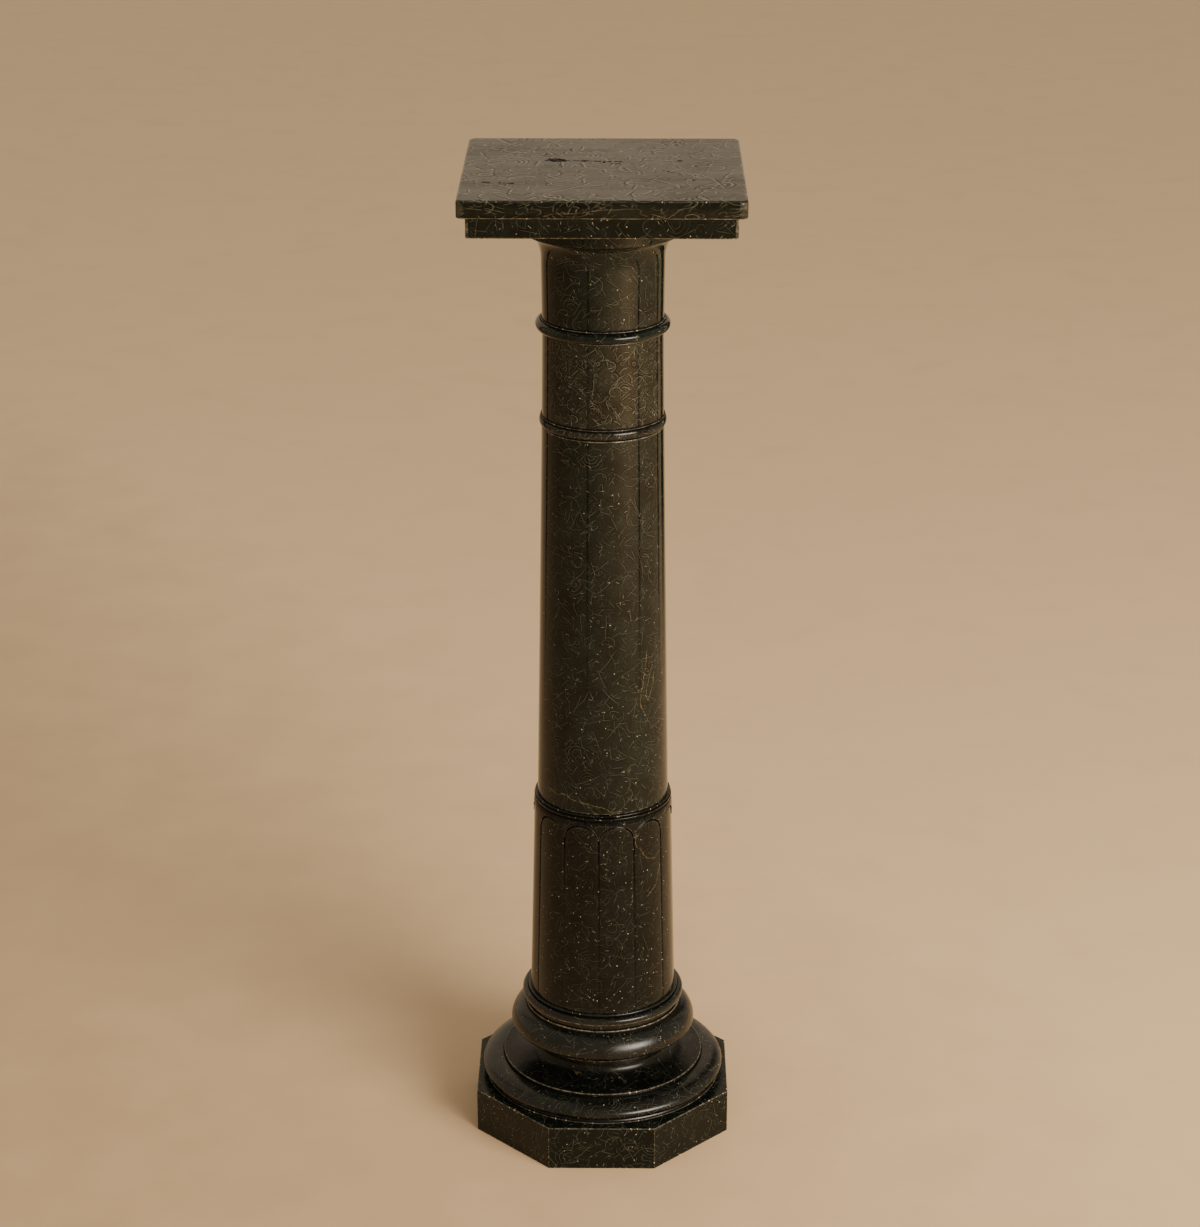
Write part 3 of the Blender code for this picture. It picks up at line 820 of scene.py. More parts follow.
        haze = add_node(tree, "ShaderNodeTexNoise", None, {"Vector": where, "Scale": 0.045, "Detail": 5.0})
        polish = add_node(
            tree,
            "ShaderNodeMapRange",
            None,
            {0: haze.outputs["Fac"], 1: 0.3, 2: 0.7, 3: self.roughness * 0.75, 4: self.roughness * 1.4},
        )
        deep = add_node(tree, "ShaderNodeMapRange", None, {0: hollow.outputs["Fac"], 1: 0.6, 2: 1.0, 3: 0.0, 4: 0.5})
        dull = add_node(
            tree, "ShaderNodeMath", {"operation": "ADD"}, {0: deep.outputs[0], 1: polish.outputs[0]}
        )
        sunk = add_node(
            tree, "ShaderNodeMath", {"operation": "MAXIMUM"}, {0: etched.outputs[0], 1: hollow.outputs["Fac"]}
        )
        along = add_node(tree, "ShaderNodeMapping", None, {"Vector": where, "Scale": (0.012, 0.13, 0.13)})
        rubbed = add_node(
            tree, "ShaderNodeTexNoise", None, {"Vector": along.outputs[0], "Scale": 1.0, "Detail": 4.0}
        )
        level = self.gloss
        gleam = add_node(
            tree,
            "ShaderNodeMapRange",
            None,
            {0: rubbed.outputs["Fac"], 1: 0.3, 2: 0.7, 3: level * (1 - self.streaks), 4: level * (1 + self.streaks)},
        )
        gloss = add_node(
            tree, "ShaderNodeMapRange", None, {0: sunk.outputs[0], 1: 0.0, 2: 1.25, 3: gleam.outputs[0], 4: 0.0}
        )
        swell = add_node(tree, "ShaderNodeTexNoise", None, {"Vector": where, "Scale": 0.03, "Detail": 0.0})
        bump = add_node(
            tree, "ShaderNodeBump", None, {"Height": swell.outputs["Fac"], "Strength": 0.4, "Distance": 0.0003}
        )
        shader = add_node(
            tree,
            "ShaderNodeBsdfPrincipled",
            None,
            {
                "Base Color": colour,
                "Roughness": dull.outputs[0],
                "IOR": 1.47,
                "Specular IOR Level": gloss.outputs[0],
                "Normal": bump.outputs["Normal"],
            },
        )
        add_node(tree, "ShaderNodeOutputMaterial", None, {"Surface": shader.outputs[0]})
        return material

    def coordinates(self, tree: bpy.types.NodeTree) -> bpy.types.NodeSocket:
        """Object coordinates in millimetres, moved to the piece's own place in the quarry block."""
        place = add_node(tree, "ShaderNodeTexCoord")
        scale = (1000.0 / self.drawn[0], 1000.0 / self.drawn[1], 1000.0)
        scaled = add_node(
            tree,
            "ShaderNodeMapping",
            None,
            {"Vector": place.outputs["Object"], "Location": self.place, "Scale": scale},
        )
        return scaled.outputs[0]

    def warped(
        self, tree: bpy.types.NodeTree, where: bpy.types.NodeSocket, scale: float, reach: float
    ) -> bpy.types.NodeSocket:
        """Push coordinates about with noise.

        Args:
            tree: The material's tree.
            where: The coordinates.
            scale: Noise cells per millimetre.
            reach: How far a point is pushed, in millimetres.

        Returns:
            The new coordinates.
        """
        push = add_node(tree, "ShaderNodeTexNoise", None, {"Vector": where, "Scale": scale, "Detail": 1.0})
        centred = add_node(
            tree, "ShaderNodeVectorMath", {"operation": "SUBTRACT"}, {0: push.outputs["Color"], 1: (0.5, 0.5, 0.5)}
        )
        moved = add_node(
            tree,
            "ShaderNodeVectorMath",
            {"operation": "MULTIPLY_ADD"},
            {0: centred.outputs[0], 1: (reach, reach, reach), 2: where},
        )
        return moved.outputs[0]

    def clouded_ground(self, tree: bpy.types.NodeTree, where: bpy.types.NodeSocket) -> bpy.types.NodeSocket:
        """Colour of the plain stone with its clouds and its grain."""
        clouds = add_node(
            tree, "ShaderNodeTexNoise", None, {"Vector": where, "Scale": 0.040, "Detail": 5.0, "Roughness": 0.6}
        )
        share = add_node(tree, "ShaderNodeMapRange", None, {0: clouds.outputs["Fac"], 1: 0.36, 2: 0.60})
        mixed = add_node(
            tree,
            "ShaderNodeMix",
            {"data_type": "RGBA"},
            {"Factor": share.outputs[0], 6: linear(self.shade), 7: linear(self.ground)},
        )
        grain = add_node(
            tree, "ShaderNodeTexNoise", None, {"Vector": where, "Scale": 0.55, "Detail": 3.0, "Roughness": 0.7}
        )
        depth = add_node(tree, "ShaderNodeMapRange", None, {0: grain.outputs["Fac"], 1: 0.60, 2: 0.30, 3: 0.0, 4: 0.8})
        return self.laid_over(tree, mixed.outputs[2], self.dark_and_painted_shade, depth.outputs[0], 1.0)

    def near_zero(
        self,
        tree: bpy.types.NodeTree,
        value: bpy.types.NodeSocket,
        half_width: float,
        middle: float = 0.0,
    ) -> bpy.types.NodeSocket:
        """Mask that is 1 where a value is near a middle, with a soft margin.

        Args:
            tree: The material's tree.
            value: The value.
            half_width: Distance from the middle at which the mask has faded out.
            middle: The middle.

        Returns:
            The mask.
        """
        away = add_node(tree, "ShaderNodeMath", {"operation": "SUBTRACT"}, {0: value, 1: middle})
        size = add_node(tree, "ShaderNodeMath", {"operation": "ABSOLUTE"}, {0: away.outputs[0]})
        soft = add_node(
            tree,
            "ShaderNodeMapRange",
            {"interpolation_type": "SMOOTHSTEP"},
            {0: size.outputs[0], 1: half_width * 0.4, 2: half_width, 3: 1.0, 4: 0.0},
        )
        return soft.outputs[0]

    def product(self, tree: bpy.types.NodeTree, *masks: bpy.types.NodeSocket) -> bpy.types.NodeSocket:
        """Share of the surface where all the masks hold."""
        total = masks[0]
        for mask in masks[1:]:
            total = add_node(tree, "ShaderNodeMath", {"operation": "MULTIPLY"}, {0: total, 1: mask}).outputs[0]
        return total

    def cell(
        self, tree: bpy.types.NodeTree, where: bpy.types.NodeSocket, scale: float
    ) -> tuple[bpy.types.NodeSocket, bpy.types.NodeSocket, bpy.types.NodeSocket]:
        """Cells of a random pattern, each with one shell.

        Args:
            tree: The material's tree.
            where: The coordinates.
            scale: Cells per millimetre.

        Returns:
            The place in the cell, the way its shell lies, and a random number for the cell.
        """
        cells = add_node(tree, "ShaderNodeTexVoronoi", None, {"Vector": where, "Scale": scale})
        local = add_node(
            tree, "ShaderNodeVectorMath", {"operation": "SUBTRACT"}, {0: where, 1: cells.outputs["Position"]}
        )
        centred = add_node(
            tree, "ShaderNodeVectorMath", {"operation": "SUBTRACT"}, {0: cells.outputs["Color"], 1: (0.5, 0.5, 0.5)}
        )
        lie = add_node(tree, "ShaderNodeVectorMath", {"operation": "NORMALIZE"}, {0: centred.outputs[0]})
        lot = add_node(tree, "ShaderNodeTexWhiteNoise", None, {"Vector": cells.outputs["Position"]})
        return local.outputs[0], lie.outputs[0], lot.outputs["Value"]

    def cut_line(
        self, tree: bpy.types.NodeTree, depth: bpy.types.NodeSocket, lie: bpy.types.NodeSocket
    ) -> tuple[bpy.types.NodeSocket, bpy.types.NodeSocket]:
        """Line where the surface cuts a thin shell, as thin where the cut is slanting as where it is square.

        Args:
            tree: The material's tree.
            depth: Distance from the shell in millimetres.
            lie: Direction square to the shell.

        Returns:
            The mask of the pale shell, and of the painted shadow on one side of it.
        """
        surface = add_node(tree, "ShaderNodeNewGeometry")
        slant = add_node(
            tree, "ShaderNodeVectorMath", {"operation": "CROSS_PRODUCT"}, {0: lie, 1: surface.outputs["True Normal"]}
        )
        sine = add_node(tree, "ShaderNodeVectorMath", {"operation": "LENGTH"}, {0: slant.outputs[0]})
        held = add_node(tree, "ShaderNodeMath", {"operation": "MAXIMUM"}, {0: sine.outputs["Value"], 1: 0.12})
        across = add_node(tree, "ShaderNodeMath", {"operation": "DIVIDE"}, {0: depth, 1: held.outputs[0]})
        return self.near_zero(tree, across.outputs[0], 0.45), self.near_zero(tree, across.outputs[0], 0.55, 1.05)

    def shell_dashes(
        self,
        tree: bpy.types.NodeTree,
        where: bpy.types.NodeSocket,
        scale: float,
        reach: float,
        rarity: float,
    ) -> tuple[bpy.types.NodeSocket, bpy.types.NodeSocket]:
        """Dashes and threads: thin flat shells cut across, one to a cell, each lying its own way.

        Args:
            tree: The material's tree.
            where: Warped coordinates.
            scale: Cells per millimetre.
            reach: Half the length of a dash, in millimetres.
            rarity: Share of the cells that have none.

        Returns:
            The masks of the dashes and of the painted shadow beside them.
        """
        local, lie, lot = self.cell(tree, where, scale)
        depth = add_node(tree, "ShaderNodeVectorMath", {"operation": "DOT_PRODUCT"}, {0: local, 1: lie})
        light, dark = self.cut_line(tree, depth.outputs["Value"], lie)
        length = add_node(tree, "ShaderNodeVectorMath", {"operation": "LENGTH"}, {0: local})
        end = add_node(
            tree, "ShaderNodeMapRange", None, {0: length.outputs["Value"], 1: reach, 2: reach * 0.7}
        )
        there = add_node(tree, "ShaderNodeMapRange", None, {0: lot, 1: rarity, 2: rarity + 0.35})
        held = self.product(tree, end.outputs[0], there.outputs[0])
        return self.product(tree, light, held), self.product(tree, dark, held)

    def shell_rings(
        self, tree: bpy.types.NodeTree, where: bpy.types.NodeSocket, scale: float, least: float, most: float
    ) -> tuple[bpy.types.NodeSocket, bpy.types.NodeSocket]:
        """Arcs and rings: round shells cut across, with half of each left.

        Args:
            tree: The material's tree.
            where: Warped coordinates.
            scale: Cells per millimetre.
            least: Least radius in millimetres.
            most: Greatest radius.

        Returns:
            The masks of the rings and of the painted shadow beside them.
        """
        local, lie, lot = self.cell(tree, where, scale)
        length = add_node(tree, "ShaderNodeVectorMath", {"operation": "LENGTH"}, {0: local})
        radius = add_node(tree, "ShaderNodeMapRange", None, {0: lot, 3: least, 4: most})
        away = add_node(
            tree, "ShaderNodeMath", {"operation": "SUBTRACT"}, {0: length.outputs["Value"], 1: radius.outputs[0]}
        )
        out = add_node(tree, "ShaderNodeVectorMath", {"operation": "NORMALIZE"}, {0: local})
        light, dark = self.cut_line(tree, away.outputs[0], out.outputs[0])
        depth = add_node(tree, "ShaderNodeVectorMath", {"operation": "DOT_PRODUCT"}, {0: out.outputs[0], 1: lie})
        half = add_node(tree, "ShaderNodeMapRange", None, {0: depth.outputs["Value"], 1: -0.15, 2: 0.30})
        return self.product(tree, light, half.outputs[0]), self.product(tree, dark, half.outputs[0])

    def growth_lines(
        self, tree: bpy.types.NodeTree, where: bpy.types.NodeSocket, scale: float, gap: float
    ) -> tuple[bpy.types.NodeSocket, bpy.types.NodeSocket]:
        """Arcs one inside the other, as of a coral or a snail cut across, in some of the cells.

        Args:
            tree: The material's tree.
            where: Warped coordinates.
            scale: Cells per millimetre.
            gap: Distance between two arcs in millimetres.

        Returns:
            The masks of the arcs and of the painted shadow beside them.
        """
        local, lie, lot = self.cell(tree, where, scale)
        length = add_node(tree, "ShaderNodeVectorMath", {"operation": "LENGTH"}, {0: local})
        fold = add_node(
            tree, "ShaderNodeMath", {"operation": "PINGPONG"}, {0: length.outputs["Value"], 1: gap / 2}
        )
        out = add_node(tree, "ShaderNodeVectorMath", {"operation": "NORMALIZE"}, {0: local})
        light, dark = self.cut_line(tree, fold.outputs[0], out.outputs[0])
        depth = add_node(tree, "ShaderNodeVectorMath", {"operation": "DOT_PRODUCT"}, {0: out.outputs[0], 1: lie})
        side = add_node(tree, "ShaderNodeMapRange", None, {0: depth.outputs["Value"], 1: -0.1, 2: 0.5})
        there = add_node(tree, "ShaderNodeMapRange", None, {0: lot, 1: 0.35, 2: 0.60})
        end = add_node(tree, "ShaderNodeMapRange", None, {0: length.outputs["Value"], 1: 0.55 / scale, 2: 0.40 / scale})
        held = self.product(tree, side.outputs[0], there.outputs[0], end.outputs[0])
        return self.product(tree, light, held), self.product(tree, dark, held)

    def white_specks(self, tree: bpy.types.NodeTree, where: bpy.types.NodeSocket) -> bpy.types.NodeSocket:
        """Small white specks, one to some of the cells."""
        local, _, lot = self.cell(tree, where, 0.15)
        length = add_node(tree, "ShaderNodeVectorMath", {"operation": "LENGTH"}, {0: local})
        dot = add_node(tree, "ShaderNodeMapRange", None, {0: length.outputs["Value"], 1: 0.78, 2: 0.36})
        there = add_node(tree, "ShaderNodeMapRange", None, {0: lot, 1: 1.0 - self.specks, 2: 1.0})
        return self.product(tree, dot.outputs[0], there.outputs[0])

    def vein_mask(self, tree: bpy.types.NodeTree, where: bpy.types.NodeSocket) -> bpy.types.NodeSocket:
        """Jagged thin line along the stored veins."""
        side = add_node(tree, "ShaderNodeAttribute", {"attribute_name": "vein_side"})
        fade = add_node(tree, "ShaderNodeAttribute", {"attribute_name": "vein_fade"})
        jag = add_node(tree, "ShaderNodeTexNoise", None, {"Vector": where, "Scale": 0.35, "Detail": 2.0})
        shift = add_node(tree, "ShaderNodeMapRange", None, {0: jag.outputs["Fac"], 1: 0.2, 2: 0.8, 3: -1.3, 4: 1.3})
        away = add_node(tree, "ShaderNodeMath", {"operation": "ADD"}, {0: side.outputs["Fac"], 1: shift.outputs[0]})
        line = self.near_zero(tree, away.outputs[0], 0.6)
        broken = add_node(tree, "ShaderNodeTexNoise", None, {"Vector": where, "Scale": 0.20, "Detail": 2.0})
        share = add_node(tree, "ShaderNodeMapRange", None, {0: broken.outputs["Fac"], 1: 0.35, 2: 0.55, 3: 0.25})
        return self.product(tree, line, fade.outputs["Fac"], share.outputs[0])

    def arris_mask(self, tree: bpy.types.NodeTree, where: bpy.types.NodeSocket) -> bpy.types.NodeSocket:
        """Light line along the arrises, here and there broken: wear and a painted highlight."""
        edge = add_node(tree, "ShaderNodeAttribute", {"attribute_name": "arris"})
        broken = add_node(tree, "ShaderNodeTexNoise", None, {"Vector": where, "Scale": 0.22, "Detail": 3.0})
        held = add_node(tree, "ShaderNodeMapRange", None, {0: broken.outputs["Fac"], 1: 0.42, 2: 0.66, 3: 0.2})
        return self.product(tree, edge.outputs["Fac"], held.outputs[0])

    def laid_over(
        self,
        tree: bpy.types.NodeTree,
        under: bpy.types.NodeSocket,
        over: str,
        mask: bpy.types.NodeSocket,
        share: float,
    ) -> bpy.types.NodeSocket:
        """Lay a colour over another through a mask.

        Args:
            tree: The material's tree.
            under: The colour below.
            over: The colour above.
            mask: Where it lies.
            share: How much of it shows there.

        Returns:
            The mixed colour.
        """
        part = add_node(tree, "ShaderNodeMath", {"operation": "MULTIPLY"}, {0: mask, 1: share})
        mixed = add_node(
            tree, "ShaderNodeMix", {"data_type": "RGBA"}, {"Factor": part.outputs[0], 6: under, 7: linear(over)}
        )
        return mixed.outputs[2]


@dataclass(frozen=True)
class BrokenLimestone:
    """Freshly broken limestone in a chip: paler than the polish, matt and sugary."""

    name: str = "broken_limestone"
    pale: str = "CDBF9E"
    dark: str = "7A6E56"

    def build(self) -> bpy.types.Material:
        """Build the material."""
        material = bpy.data.materials.new(self.name)
        material.use_nodes = True
        tree = material.node_tree
        tree.nodes.clear()
        place = add_node(tree, "ShaderNodeTexCoord")
        sugar = add_node(
            tree, "ShaderNodeTexNoise", None, {"Vector": place.outputs["Object"], "Scale": 900.0, "Detail": 3.0}
        )
        colour = add_node(
            tree,
            "ShaderNodeMix",
            {"data_type": "RGBA"},
            {"Factor": sugar.outputs["Fac"], 6: linear(self.dark), 7: linear(self.pale)},
        )
        shader = add_node(
            tree, "ShaderNodeBsdfPrincipled", None, {"Base Color": colour.outputs[2], "Roughness": 0.75, "IOR": 1.52}
        )
        add_node(tree, "ShaderNodeOutputMaterial", None, {"Surface": shader.outputs[0]})
        return material


@dataclass(frozen=True)
class DustyPit:
    """Natural pit in the limestone, dark with old wax and dust."""

    name: str = "dusty_pit"
    dark: str = "0C0A07"
    dust: str = "2B261C"

    def build(self) -> bpy.types.Material:
        """Build the material."""
        material = bpy.data.materials.new(self.name)
        material.use_nodes = True
        tree = material.node_tree
        tree.nodes.clear()
        place = add_node(tree, "ShaderNodeTexCoord")
        dust = add_node(
            tree, "ShaderNodeTexNoise", None, {"Vector": place.outputs["Object"], "Scale": 600.0, "Detail": 2.0}
        )
        colour = add_node(
            tree,
            "ShaderNodeMix",
            {"data_type": "RGBA"},
            {"Factor": dust.outputs["Fac"], 6: linear(self.dark), 7: linear(self.dust)},
        )
        shader = add_node(
            tree, "ShaderNodeBsdfPrincipled", None, {"Base Color": colour.outputs[2], "Roughness": 0.8, "IOR": 1.45}
        )
        add_node(tree, "ShaderNodeOutputMaterial", None, {"Surface": shader.outputs[0]})
        return material


@dataclass
class Workshop:
    """What the pieces share: the two trees and the two finishes of broken and pitted stone."""

    chips: bpy.types.NodeTree = field(default_factory=chip_tree)
    lobes: bpy.types.NodeTree = field(default_factory=lobe_tree)
    broken: bpy.types.Material = field(default_factory=lambda: BrokenLimestone().build())
    pit: bpy.types.Material = field(default_factory=lambda: DustyPit().build())

    def shards(
        self, lines: list[list[Vector]], spacing: float, share: float, sizes: tuple[float, float], seed: int
    ) -> bpy.types.Object:
        """Shards strewn along lines, to cut chips with.

        Args:
            lines: The lines.
            spacing: Distance between two places for a shard.
            share: Share of the places that have one.
            sizes: Least and greatest radius of a shard.
            seed: Which random draw to use.

        Returns:
            The shards as one object.
        """
        bm = bmesh.new()
        for line in lines:
            verts = [bm.verts.new(point) for point in line]
            for first, second in zip(verts, verts[1:]):
                bm.edges.new((first, second))
        mesh = bpy.data.meshes.new("shards")
        bm.to_mesh(mesh)
        bm.free()
        values = {
            "Spacing": spacing,
            "Share": share,
            "Least Size": sizes[0],
            "Greatest Size": sizes[1],
            "Seed": seed,
            "Stone": self.broken,
        }
        return run_tree(link("shards", mesh), self.chips, values)

    def cut(self, piece: bpy.types.Object, cutter: bpy.types.Object) -> None:
        """Cut one object out of another, the cut faces taking the cutter's material.

        Args:
            piece: What is cut.
            cutter: What is cut away; it is removed afterwards.
        """
        whole = piece.data.copy()
        least = volume(whole) * LEAST_LEFT
        for own_crossings in (False, True):
            modifier = piece.modifiers.new("cut", "BOOLEAN")
            modifier.operation = "DIFFERENCE"
            modifier.solver = "EXACT"
            modifier.use_self = own_crossings
            modifier.material_mode = "TRANSFER"
            modifier.object = cutter
            baked(piece)
            if volume(piece.data) > least:
                break
            LOG.warning("%s: cut failed with use_self %s", piece.name, own_crossings)
            piece.data = whole.copy()
        bpy.data.objects.remove(cutter, do_unlink=True)


def volume(mesh: bpy.types.Mesh) -> float:
    """Volume that a closed mesh holds."""
    bm = bmesh.new()
    bm.from_mesh(mesh)
    held = bm.calc_volume()
    bm.free()
    return held


def crease(mesh: bpy.types.Mesh) -> None:
    """Mark as sharp the corners of a mesh and the rims of its chips and pits."""
    mesh.set_sharp_from_angle(angle=SHARP_ANGLE)
    slots = np.zeros(len(mesh.polygons), dtype=np.int32)
    sizes = np.zeros(len(mesh.polygons), dtype=np.int32)
    ends = np.zeros(len(mesh.loops), dtype=np.int32)
    mesh.polygons.foreach_get("material_index", slots)
    mesh.polygons.foreach_get("loop_total", sizes)
    mesh.loops.foreach_get("edge_index", ends)
    found = np.repeat(slots, sizes)
    least = np.full(len(mesh.edges), 99)
    most = np.zeros(len(mesh.edges), dtype=np.int64)
    np.minimum.at(least, ends, found)
    np.maximum.at(most, ends, found)
    sharp = np.zeros(len(mesh.edges), dtype=bool)
    mesh.edges.foreach_get("use_edge_sharp", sharp)
    mesh.edges.foreach_set("use_edge_sharp", sharp | (least != most))


def hand_in(piece: bpy.types.Object, node: str) -> None:
    """Shade a finished piece, hang it on the root body and hide the CAD part that it stands for.

    Args:
        piece: The piece.
        node: The CAD node that it replaces.
    """
    crease(piece.data)
    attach(piece, "root")
    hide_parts(node)
    piece.data.calc_loop_triangles()
    LOG.info("%s: %d triangles", piece.name, len(piece.data.loop_triangles))


@dataclass
class StonePiece:
    """What every block has: its node, its foot, its stone and its chips."""

    workshop: Workshop
    node: str = ""
    slot: str = ""
    chip_spacing: float = 0.0070
    chip_share: float = 0.40
    chip_sizes: tuple[float, float] = (0.0004, 0.0013)
    seed: int = 1

    def foot(self) -> float:
        """Height of the block's underside."""
        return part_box(self.node)[0].z

    def stone(self) -> FossilLimestone:
        """Finish of the block."""
        raise NotImplementedError

    def finish(self, block: Block, veins: tuple[Vein, ...] = ()) -> bpy.types.Object:
        """Wear a block's arrises, chip them, and dress the block.

        Args:
            block: The block's mesh.
            veins: Veins in it.

        Returns:
            The finished piece.
        """
        block.wear_down(WEAR_DEPTH, self.seed)
        store_veins(block.mesh, veins)
        lines = block.arris_lines()
        move_to_corners(block.mesh)
        block.mesh.materials.append(self.stone().build())
        piece = link(self.node + "_stone", block.mesh)
        shards = self.workshop.shards(lines, self.chip_spacing, self.chip_share, self.chip_sizes, self.seed * 10)
        self.workshop.cut(piece, shards)
        hand_in(piece, self.node)
        return piece


@dataclass
class Plinth(StonePiece):
    """Octagonal block on the floor, one flat to the front."""

    node: str = "plinth"
    slot: str = "plinth_stone"
    half_width: float = 0.1400
    height: float = 0.0503
    arris: float = 0.0007
    chip_share: float = 0.45
    chip_sizes: tuple[float, float] = (0.0005, 0.0017)
    seed: int = 3

    def stone(self) -> FossilLimestone:
        """Honed and worn, a little greyer than the drums."""
        return FossilLimestone(
            "honed_plinth_limestone", (310.0, 40.0, 95.0), ground="121711", roughness=0.22, specks=0.5, wear=0.4, gloss=0.23
        )

    def build(self) -> bpy.types.Object:
        """Build and dress the plinth."""
        outline = Outline()
        outline.corner(self.half_width - 0.030, 0.0, 0.0)
        outline.corner(self.half_width, 0.0, self.arris, Edge.ARRIS)
        outline.corner(self.half_width, self.height, self.arris, Edge.ARRIS)
        outline.corner(self.half_width - 0.030, self.height, 0.0)
        plan = SidedPlan(8, self.half_width, self.arris, 1.0)
        return self.finish(Block(self.node, outline.traced(), plan, self.foot()))


@dataclass
class MouldedBase(StonePiece):
    """Turned base: foot fillet, wide torus, scotia, narrow torus and banded ring, in one block."""

    node: str = "moulded_base"
    slot: str = "base_stone"
    foot_fillet: tuple[float, float] = (0.1316, 0.0016)
    fillet_reach: float = 0.0014
    wide_torus_radius: float = 0.1348
    wide_torus_reach: float = 0.0228
    wide_torus_half_height: float = 0.0109
    wide_torus_sink: float = 0.85
    rim_radius: float = 0.1114
    rim_height: float = 0.0042
    scotia_neck_radius: float = 0.0772
    scotia_fall: float = 0.0155
    scotia_neck_height: float = 0.0123
    torus_foot_fillet: tuple[float, float] = (0.0895, 0.0024)
    narrow_torus_radius: float = 0.1022
    narrow_torus_reach: float = 0.0210
    narrow_torus_lower: float = 0.0092
    narrow_torus_upper: float = 0.0215
    torus_cap: tuple[float, float] = (0.0862, 0.0034)
    recess: tuple[float, float] = (0.0842, 0.0080)
    band: tuple[float, float] = (0.0894, 0.0074)
    band_crown: float = 0.0040
    bead_radius: float = 0.0016
    bead_reach: float = 0.0834
    chip_share: float = 0.25
    seed: int = 4

    def stone(self) -> FossilLimestone:
        """Polished, nearly black."""
        return FossilLimestone(
            "polished_base_limestone",
            (130.0, 220.0, 60.0),
            ground="161915",
            shade="0A0B09",
            lines=0.5,
            shards=0.75,
            rings=0.5,
            specks=0.45,
            roughness=0.23,
            gloss=0.45,
        )

    def build(self) -> bpy.types.Object:
        """Build and dress the base."""
        fillet_out, fillet_top = self.foot_fillet
        torus_mid = fillet_top + self.wide_torus_half_height * self.wide_torus_sink
        torus_top = torus_mid + self.wide_torus_half_height
        rim_top = torus_top + self.rim_height
        neck_foot = rim_top + self.scotia_fall
        neck_top = neck_foot + self.scotia_neck_height
        foot_out, foot_height = self.torus_foot_fillet
        foot_top = neck_top + foot_height
        narrow_centre = (self.narrow_torus_radius - self.narrow_torus_reach, foot_top + self.narrow_torus_lower)
        narrow_top = narrow_centre[1] + self.narrow_torus_upper
        cap_out, cap_height = self.torus_cap
        recess_foot = narrow_top + cap_height
        recess_out, recess_height = self.recess
        recess_top = recess_foot + recess_height
        band_out, band_height = self.band
        band_top = recess_top + band_height
        bead_centre = (self.bead_reach - self.bead_radius, band_top + self.bead_radius * 1.1)
        wide_centre = (self.wide_torus_radius - self.wide_torus_reach, torus_mid)

        outline = Outline()
        outline.corner(fillet_out - 0.030, 0.0, 0.0)
        outline.corner(fillet_out, 0.0, 0.0003, Edge.HOLLOW)
        outline.corner(fillet_out, fillet_top, 0.0005, Edge.ARRIS)
        outline.corner(fillet_out - self.fillet_reach, fillet_top, 0.0, Edge.HOLLOW)
        outline.arc(wide_centre, self.wide_torus_reach, self.wide_torus_half_height, -42.0, 76.0)
        outline.corner(self.rim_radius, torus_top, 0.0, Edge.HOLLOW)
        outline.corner(self.rim_radius, rim_top, 0.0006, Edge.ARRIS)
        scotia_reach = self.rim_radius - self.scotia_neck_radius
        scotia_centre = (self.rim_radius, neck_foot)
        # The scotia takes a weaker painted shade all down its curve.
        outline.arc(scotia_centre, scotia_reach, self.scotia_fall, 266.0, 180.0, Edge.PAINTED_SHADE)
        outline.corner(self.scotia_neck_radius, neck_top, 0.0008, Edge.HOLLOW)
        outline.corner(foot_out, neck_top, 0.0005, Edge.ARRIS)
        outline.corner(foot_out, foot_top, 0.0, Edge.HOLLOW)
        outline.arc(narrow_centre, self.narrow_torus_reach, self.narrow_torus_lower, -62.0, 0.0)
        outline.arc(narrow_centre, self.narrow_torus_reach, self.narrow_torus_upper, 4.0, 74.0)
        outline.corner(cap_out, narrow_top, 0.0, Edge.HOLLOW)
        outline.corner(cap_out, recess_foot, 0.0005, Edge.ARRIS)
        outline.corner(recess_out, recess_foot, 0.0003, Edge.HOLLOW)
        outline.corner(recess_out, recess_top, 0.0003, Edge.HOLLOW)
        outline.corner(band_out, recess_top, 0.0005, Edge.ARRIS)
        crown_centre = (band_out - self.band_crown, band_top - self.band_crown)
        outline.arc(crown_centre, self.band_crown, self.band_crown, 0.0, 90.0)
        outline.corner(bead_centre[0] + self.bead_radius * 0.87, band_top, 0.0, Edge.HOLLOW)
        outline.arc(bead_centre, self.bead_radius, self.bead_radius, -25.0, 90.0)
        outline.corner(bead_centre[0] - 0.004, bead_centre[1] + self.bead_radius, 0.0)
        veins = (
            Vein(((-23.0, 0.0850), (-14.0, 0.0830))),
            Vein(((7.0, 0.0905), (16.0, 0.0790))),
        )
        return self.finish(Block(self.node, outline.traced(), RoundPlan(), self.foot()), veins)


